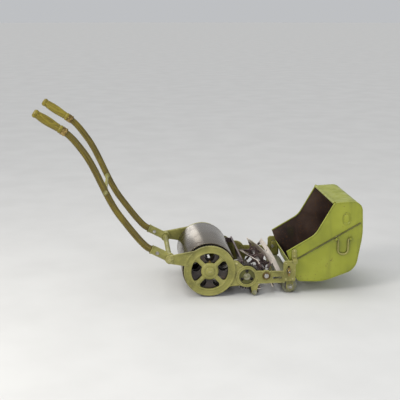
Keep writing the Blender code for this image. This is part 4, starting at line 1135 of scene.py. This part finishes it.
def build_brackets():
    """The sliding brackets of the front roller, the spindle between them and its nuts."""
    outer, raised = (rounded([(0.376, 0.146, 0.008), (0.377, foot, 0.012), (0.412, foot, 0.012),
                              (0.408, 0.146, 0.008)]) for foot in (0.030, 0.040))
    field = rounded([(0.3805, 0.1415, 0.005), (0.3815, 0.062, 0.005), (0.4065, 0.062, 0.005),
                     (0.4035, 0.1415, 0.005)])
    back, face = -0.2118, -0.2196
    holes = [circle(SPINDLE_BORE, FRONT, 28), circle(CLAMP_BORE, CLAMP, 20)]
    bracket = cast([plate(outer, -0.2186, -0.2122, holes),
                    plate(raised, face, -0.2150, [field]),
                    bored(SPINDLE_BORE, [(0.0185, back), (0.0195, -0.2130), (0.0195, -0.2185),
                                         (0.0180, face)], 48, FRONT),
                    bored(CLAMP_BORE, [(0.0095, back), (0.0095, face)], 36, CLAMP)], 0.0009, 3, 0.5)
    finish_pair([bracket], "height_bracket", "green_iron", "front_carriage", "front_bracket", angle=70)

    rod = solid([(0.0080, -0.2275, 0.0010), (0.0080, 0)], 32, FRONT, half=True)
    half = joined(rod, thread(0.0072, -0.2290, -0.2268, FRONT))
    finish([mirrored(half), half], "front_rod", "shaft_steel", "front_carriage", "front_spindle")
    finish_pair([nut(0.0135, 0.0081, 0.0150, -0.2272, -0.2214, -0.2200, FRONT)], "front_rod_nut", "nut_green",
                "front_carriage")


def build_clamps():
    """The bolts that clamp the front roller's height, and their wing nuts."""
    bolt = [solid([(0.0040, -0.2330, 0.0003), (0.0040, -0.2080, 0.0003)], 24, CLAMP),
            thread(0.0040, -0.2500, -0.2325, CLAMP), hexagon(0.0100, -0.2114, -0.2062, CLAMP),
            washer(0.0042, 0.0105, -0.2319, -0.2307, CLAMP)]
    finish_pair(bolt, "height_bolt", "shaft_steel", "front_carriage", "clamp_bolt")

    parts = [bored(0.0044, [(0.0092, -0.2322), (0.0095, -0.2335), (0.0075, -0.2440), (0.0065, -0.2450)],
                   36, CLAMP)]
    ear = rounded([(-0.0040, 0.0045), (0.0040, 0.0045), (0.0052, 0.0125, 0.008), (0.0066, 0.0225, 0.0060),
                   (-0.0066, 0.0225, 0.0060), (-0.0052, 0.0125, 0.008)])
    for side in (-1, 1):
        for width, y0, y1 in ((1, -0.2434, -0.2398), (0.55, -0.2444, -0.2388)):
            parts.append(plate([(CLAMP[0] + x * width, CLAMP[1] + side * z) for x, z in ear], y0, y1))
    wing_nut = cast(parts, 0.0007, 3, 0.6)
    finish_pair([wing_nut], "wing_nut_cast", "brass", "right_wing_nut", "wing_nut", angle=70)


def build_front_roller():
    radius = FRONT[1]
    step = radius - 0.0012
    corners = [(radius - 0.004, -0.2050, 0.0010), (radius, -0.2010, 0.0022), (radius, -0.1880, 0.0008),
               (step, -0.1868, 0.0006), (step, -0.1848, 0.0006), (radius, -0.1836, 0.0008)]
    corners += [(r, -y, fillet) for r, y, fillet in reversed(corners)]
    roller = keep_straight(bored(0.0083, corners, 96, FRONT, 0.0004), FRONT)
    finish([roller], "front_drum", "roller_wood", "front_roller", "front_roller")

    end_plate = bored(SPINDLE_BORE, [(0.0130, -0.2072, 0.0008), (0.0160, -0.2056, 0.0008),
                                     (0.0240, -0.2056, 0.0005), (0.0240, -0.2048, 0.0003)], 48, FRONT, 0.0003)
    heads = rivets([(x, -0.2055, z) for x, z in circle(0.0200, FRONT, 3, 90)], radius=0.0020, height=0.0010)
    finish_pair([end_plate, *heads], "roller_plate", "dark_iron", "front_roller")


# ---------------------------------------------------------------- handles

def handle_line(steps):
    """The model's centreline, with more points."""
    bar = Vector((BAR[0], -SOCKET_Y, BAR[1]))
    mouth = bar + FOOT_DIRECTION * 0.110
    knots = [mouth, mouth + FOOT_DIRECTION * 0.032, (-0.3720, -0.200, 0.3340),
             (-0.4250, -0.203, 0.4080), (-0.4900, -0.206, 0.4990), (-0.5250, -0.212, 0.6350),
             (-0.5900, -0.217, 0.7250), (-0.6180, -0.219, 0.7635), (-0.6400, -0.223, 0.7960),
             (-0.6790, -0.226, 0.8220)]
    points = [bar + FOOT_DIRECTION * 0.031, mouth]
    for first in (0, 3, 6):
        points += interpolate_bezier(*[Vector(place) for place in knots[first:first + 4]], steps)[1:]
    return points


def build_sockets():
    """The iron sockets that hold the handles to the cross bar, and their bolts."""
    bar = Vector((BAR[0], -SOCKET_Y, BAR[1]))
    placed = towards(FOOT_DIRECTION, bar)
    cup = turned([(0.0176, -0.0310), (0.0176, -0.1000), (0.0212, -0.1000), (0.0222, -0.0985),
                  (0.0222, -0.0940), (0.0200, -0.0925), (0.0198, -0.0340), (0.0205, -0.0160),
                  (0.0150, -0.0160), (0.0150, -0.0300)], 56)
    floor = solid([(0.0190, -0.0140), (0.0190, -0.0300)], 40)
    spine = edged(plate(oblong(-0.0035, 0.0035, 0.0180, 0.0230), -0.0900, -0.0180), 0.0010)
    eye = bored(0.0134, [(radius, -SOCKET_Y + y) for radius, y in
                         ((0.0225, -0.0158), (0.0240, -0.0140), (0.0240, 0.0140), (0.0225, 0.0158))], 56, BAR)
    socket = cast([moved(cup, placed), moved(floor, placed), eye, moved(spine, placed)], 0.0010, 4, 0.5)
    finish_pair([socket], "socket_casting", "thin_green", "frame", "handle_socket", 70)

    bolt = joined(hexagon(0.0072, -0.0262, -0.0212), washer(0.0036, 0.0088, -0.0213, -0.0200),
                  thread(0.0034, -0.0285, -0.0255), hexagon(0.0072, 0.0212, 0.0262),
                  washer(0.0036, 0.0088, 0.0200, 0.0213))
    bolt = moved(bolt, Matrix.Translation(bar + FOOT_DIRECTION * 0.066))
    finish_pair([bolt], "socket_bolt", "shaft_steel", "frame")


def build_handles():
    line = handle_line(40)
    radii = []
    for index in range(len(line)):
        share = index / (len(line) - 1)
        radii.append(HANDLE_RADIUS * (1.0 - 0.05 * share) * (1 + 0.012 * math.sin(9 * share + 1.0)))
    radii[0] -= 0.0015
    finish_pair([sweep(line, radii, 28)], "bent_handle", "handle_wood", "frame", "handle")

    end = Vector(line[-1])
    placed = towards((end - Vector(line[-2])).normalized(), end)
    ferrule = bored(0.0168, [(0.0190, 0.0240, 0.0010), (0.0196, 0.0195, 0.0010), (0.0208, 0.0185, 0.0008),
                             (0.0208, 0.0150, 0.0008), (0.0196, 0.0140, 0.0008), (0.0202, 0.0045, 0.0010),
                             (0.0212, 0.0035, 0.0008), (0.0212, 0.0006, 0.0008)], 48, lip=0.0002)
    pin = rivets([(0, 0.0095, 0.0198)], (0, 0, 1), 0.0026, 0.0012)
    finish_pair([moved(joined(ferrule, *pin), placed)], "brass_ferrule", "brass", "frame", "ferrule")

    corners = [(0, -GAP), (0.0185, -GAP, 0.0008), (0.0200, -0.0060, 0.0030), (0.0196, -0.0120, 0.0030),
               (0.0172, -0.0160, 0.0012), (0.0172, -0.0185, 0.0012), (0.0186, -0.0210, 0.0020),
               (0.0184, -0.0300, 0.0100), (0.0214, -0.0640, 0.0500), (0.0216, -0.0950, 0.0500),
               (0.0180, -0.1260, 0.0220), (0.0178, -0.1300, 0.0015), (0.0196, -0.1330, 0.0020),
               (0.0204, -0.1410, 0.0060), (0.0150, -0.1490, 0.0060), (0, -0.1500)]
    grip = keep_straight(turned(rounded(corners, closed=False, step=25)))
    finish_pair([moved(grip, placed)], "turned_grip", "grip_wood", "frame", "grip")


def build_cross_stay():
    low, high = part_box("handle_cross_stay")
    at = ((low.x + high.x) / 2 - AXLE_X, (low.z + high.z) / 2)
    near = low.y
    bar = solid([(0.0130, near + 0.0002, 0.0006), (0.0130, near + 0.0040, 0.0010),
                 (0.0078, near + 0.0085, 0.0030), (0.0072, near + 0.060, 0.02), (0.0068, near * 0.12, 0.01),
                 (0.0090, near * 0.05, 0.004), (0.0092, 0)], 32, at, half=True)
    wall = near - 2 * HANDLE_RADIUS
    half = joined(bar, washer(0.0040, 0.0110, wall - 0.0012, wall + 0.0030, at),
                  hexagon(0.0088, wall - 0.0062, wall - 0.0010, at),
                  thread(0.0044, wall - 0.0085, wall - 0.0055, at))
    finish([mirrored(half), half], "cross_stay", "green_iron", "frame", "handle_cross_stay")


# ---------------------------------------------------------------- grass box

BOX_Y = -0.2050
BOX_TIP = (0.377, 0.211, 0.005)
BOX_LIP = (0.607, 0.449, 0.005)
BOX_CHEEK = (0.517, 0.293, 0.100)
BOX_WRAP = [(0.434, 0.060, 0.022), (0.560, 0.054, 0.200), (0.722, 0.112, 0.075), (0.752, 0.290, 0.350),
            (0.744, 0.456, 0.048)]
BAIL_INNER = 0.0044


def spaced(line, distance):
    """Points at an even distance along a line of points in X and Z."""
    points = []
    left = distance / 2
    for one, other in zip(line, line[1:]):
        step = Vector(other) - Vector(one)
        while left <= step.length:
            points.append(Vector(one) + step.normalized() * left)
            left += distance
        left -= step.length
    return points


def inset(line, distance):
    """The line moved inwards, to the left of its direction."""
    points = []
    for index, (x, z) in enumerate(line):
        after = line[min(index + 1, len(line) - 1)]
        along = (Vector(after) - Vector(line[max(index - 1, 0)])).normalized()
        points.append((x - along.y * distance, z + along.x * distance))
    return points


def across(line, y):
    """Places of a line of the side view at one Y."""
    return [(x, y, z) for x, z in line]


def lined(item, facing):
    """Give the faces for which facing(centre, normal) is true the box's inner finish."""
    item.data.materials.append(LOOKS["box_inside"])
    for face in item.data.polygons:
        if facing(face.center, face.normal):
            face.material_index = 1
    return item


def seam_parts():
    """The lap across the side sheet, with its rivets."""
    start, end = Vector((0.4330, 0.1670)), Vector((0.7400, 0.3400))
    step = (end - start) / 11
    places = across([start + step * (k + 0.5) for k in range(11)], -0.2060)
    lap = edged(rib(start, end, 0.0140, -0.2060, -0.2040), 0.0004)
    return [lap, *rivets(places, radius=0.0030, height=0.0014)]


def eye_parts(offset):
    """One of the two eyes in which a drop handle hangs, on its riveted pad."""
    x = BAIL[0] + offset
    ring = bored(BAIL_INNER, [(0.0072, -0.004), (0.0078, -0.003), (0.0078, 0.003), (0.0072, 0.004)], 32)
    ring = moved(ring, Matrix.Translation((x, BAIL_Y, BAIL[1])) @ Matrix.Rotation(-math.pi / 2, 4, "Z"))
    pad = oblong(x - 0.0065, x + 0.0065, BAIL[1] - 0.019, BAIL[1] + 0.019, 0.005)
    heads = rivets([(x, -0.2062, BAIL[1] + drop) for drop in (-0.0140, 0.0140)], radius=0.0026, height=0.0012)
    return [ring, edged(plate(pad, -0.2062, -0.2045), 0.0004), *heads]


def build_box_sides():
    mouth = rounded([BOX_LIP, BOX_CHEEK, BOX_TIP], closed=False, step=5)
    wire = sweep(across(inset(mouth, 0.0010), -0.2044), 0.0034, 14)
    fold = rounded([BOX_TIP, *BOX_WRAP, BOX_LIP], closed=False, step=5)
    fold = sweep(across(inset(fold, 0.0016), -0.2054), 0.0020, 12)
    finish_pair([wire, fold], "box_wire_edge", "box_green", "grass_box")

    # A dark bead along the lap's upper edge: painted shadow of the overlapping sheet.
    start, end = Vector((0.4315, 0.1742)), Vector((0.7385, 0.3472))
    bead = sweep(across([start.lerp(end, k / 24) for k in range(25)], -0.2067), 0.0034, 14)
    finish_pair([bead], "box_seam_bead", "oily_green", "grass_box")

    panel = edged(plate(rounded([BOX_TIP, *BOX_WRAP, BOX_LIP, BOX_CHEEK], step=5), BOX_Y, -0.2032), 0.0004)
    boss = solid([(0.62, -0.0034, 0.0006), (0.70, -0.0012, 0.0006), (0.84, -0.0012, 0.0006),
                  (0.90, -0.0030, 0.0006), (0.98, -0.0030, 0.0006), (1.0, 0.0010)])
    boss = moved(boss, Matrix.Translation((0.669, BOX_Y, 0.370)) @ Matrix.Diagonal((0.020, 1, 0.031, 1)))
    low_edge = inset(rounded(BOX_WRAP, closed=False, step=5), 0.0105)
    edge_rivets = rivets(across(spaced(low_edge, 0.034), BOX_Y), radius=0.0028, height=0.0014)
    parts = [panel, *seam_parts(), boss, *edge_rivets, *eye_parts(-0.035), *eye_parts(0.035)]
    for made in finish_pair(parts, "box_panel", "box_green", "grass_box", "box_side", angle=40):
        lined(made, lambda centre, normal: abs(centre.y) < 0.2036)


def build_box_sheet():
    """The sheet that wraps floor, front and top, with a stiffening bead along the front and hemmed ends."""
    thick = 0.0018
    line = rounded([(0.400, 0.150), *BOX_WRAP, (0.6140, 0.4495)], closed=False, step=4)
    inner = inset(line, thick)
    inner[0] = (line[0][0] + thick, line[0][1] + 0.0007)
    inner[-1] = (line[-1][0], line[-1][1] - thick)
    parts = [edged(plate(line + inner[::-1], -0.2026, 0.2026), 0.0004),
             sweep([(0.4000, y, 0.1500) for y in (-0.2020, 0.0, 0.2020)], 0.0030, 12)]
    for share in (0.30, 0.76):
        x, z = line[round(share * (len(line) - 1))]
        parts.append(sweep([(x, y, z) for y in (-0.1990, 0.0, 0.1990)], 0.0026, 12))
    made = finish(parts, "box_wrap", "box_green", "grass_box", "box_sheet", angle=40)
    centre = Vector((0.600 + AXLE_X, 0, 0.270))
    lined(made, lambda at, normal: normal.dot(centre - at) > 0.01 and abs(at.y) < 0.2024)

    low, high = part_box("box_lip_rod")
    at = ((low.x + high.x) / 2 - AXLE_X, (low.z + high.z) / 2)
    rod = sweep([(at[0], -0.2022 + 0.4044 * k / 12, at[1]) for k in range(13)], 0.0060, 24)
    curl = edged(plate(arc(0.0075, at, 55, 250, 14) + arc(0.0060, at, 250, 55, 14), -0.2020, 0.2020), 0.0003)
    finish([rod, curl], "box_mouth_rod", "box_green", "grass_box", "box_lip_rod", angle=50)


def build_box_hooks():
    """The straps that hook the box onto the frame's horns."""
    hook = cast([plate(oblong(0.404, 0.426, 0.164, 0.224, 0.003, 0.010), -0.2103, -0.2053),
                 plate(oblong(0.4042, 0.4258, HORN_TOP + 0.0006, HORN_TOP + 0.0070), -0.2360, -0.2060),
                 plate(oblong(0.4044, 0.4256, 0.1582, 0.1776, 0.004, 0.001), -0.2360, -0.2324)],
                0.0008, 3, 0.6)
    heads = rivets([(0.415, -0.2101, z) for z in (0.188, 0.214)], radius=0.0038, height=0.0020)
    finish_pair([hook, *heads], "box_hook_strap", "green_iron", "grass_box", "box_hook", angle=60)


def build_bails():
    """Drop handles: a bent rod with a swelling where the fingers hold it."""
    corners = [(-0.041, 0), (-0.025, 0, 0.006), (-0.025, -0.075, 0.022), (0.025, -0.075, 0.022),
               (0.025, 0, 0.006), (0.041, 0)]
    points = rounded(corners, closed=False, step=9)
    radii = [0.0038 if z > -0.070 else 0.0042 for x, z in points]
    rod = sweep([(BAIL[0] + x, BAIL_Y, BAIL[1] + z) for x, z in points], radii, 16)
    finish_pair([rod], "box_bail", "green_iron", "right_box_handle", "box_handle")


# ---------------------------------------------------------------- assembly

make_camera()
make_light()
LOOKS = make_looks()
make_floor()
build_side_frames()
build_cross_bar()
build_deflector()
build_frame_fittings()
build_gears()
build_roller()
build_reel()
build_knife_bar()
build_brackets()
build_clamps()
build_front_roller()
build_sockets()
build_handles()
build_cross_stay()
build_box_sides()
build_box_sheet()
build_box_hooks()
build_bails()
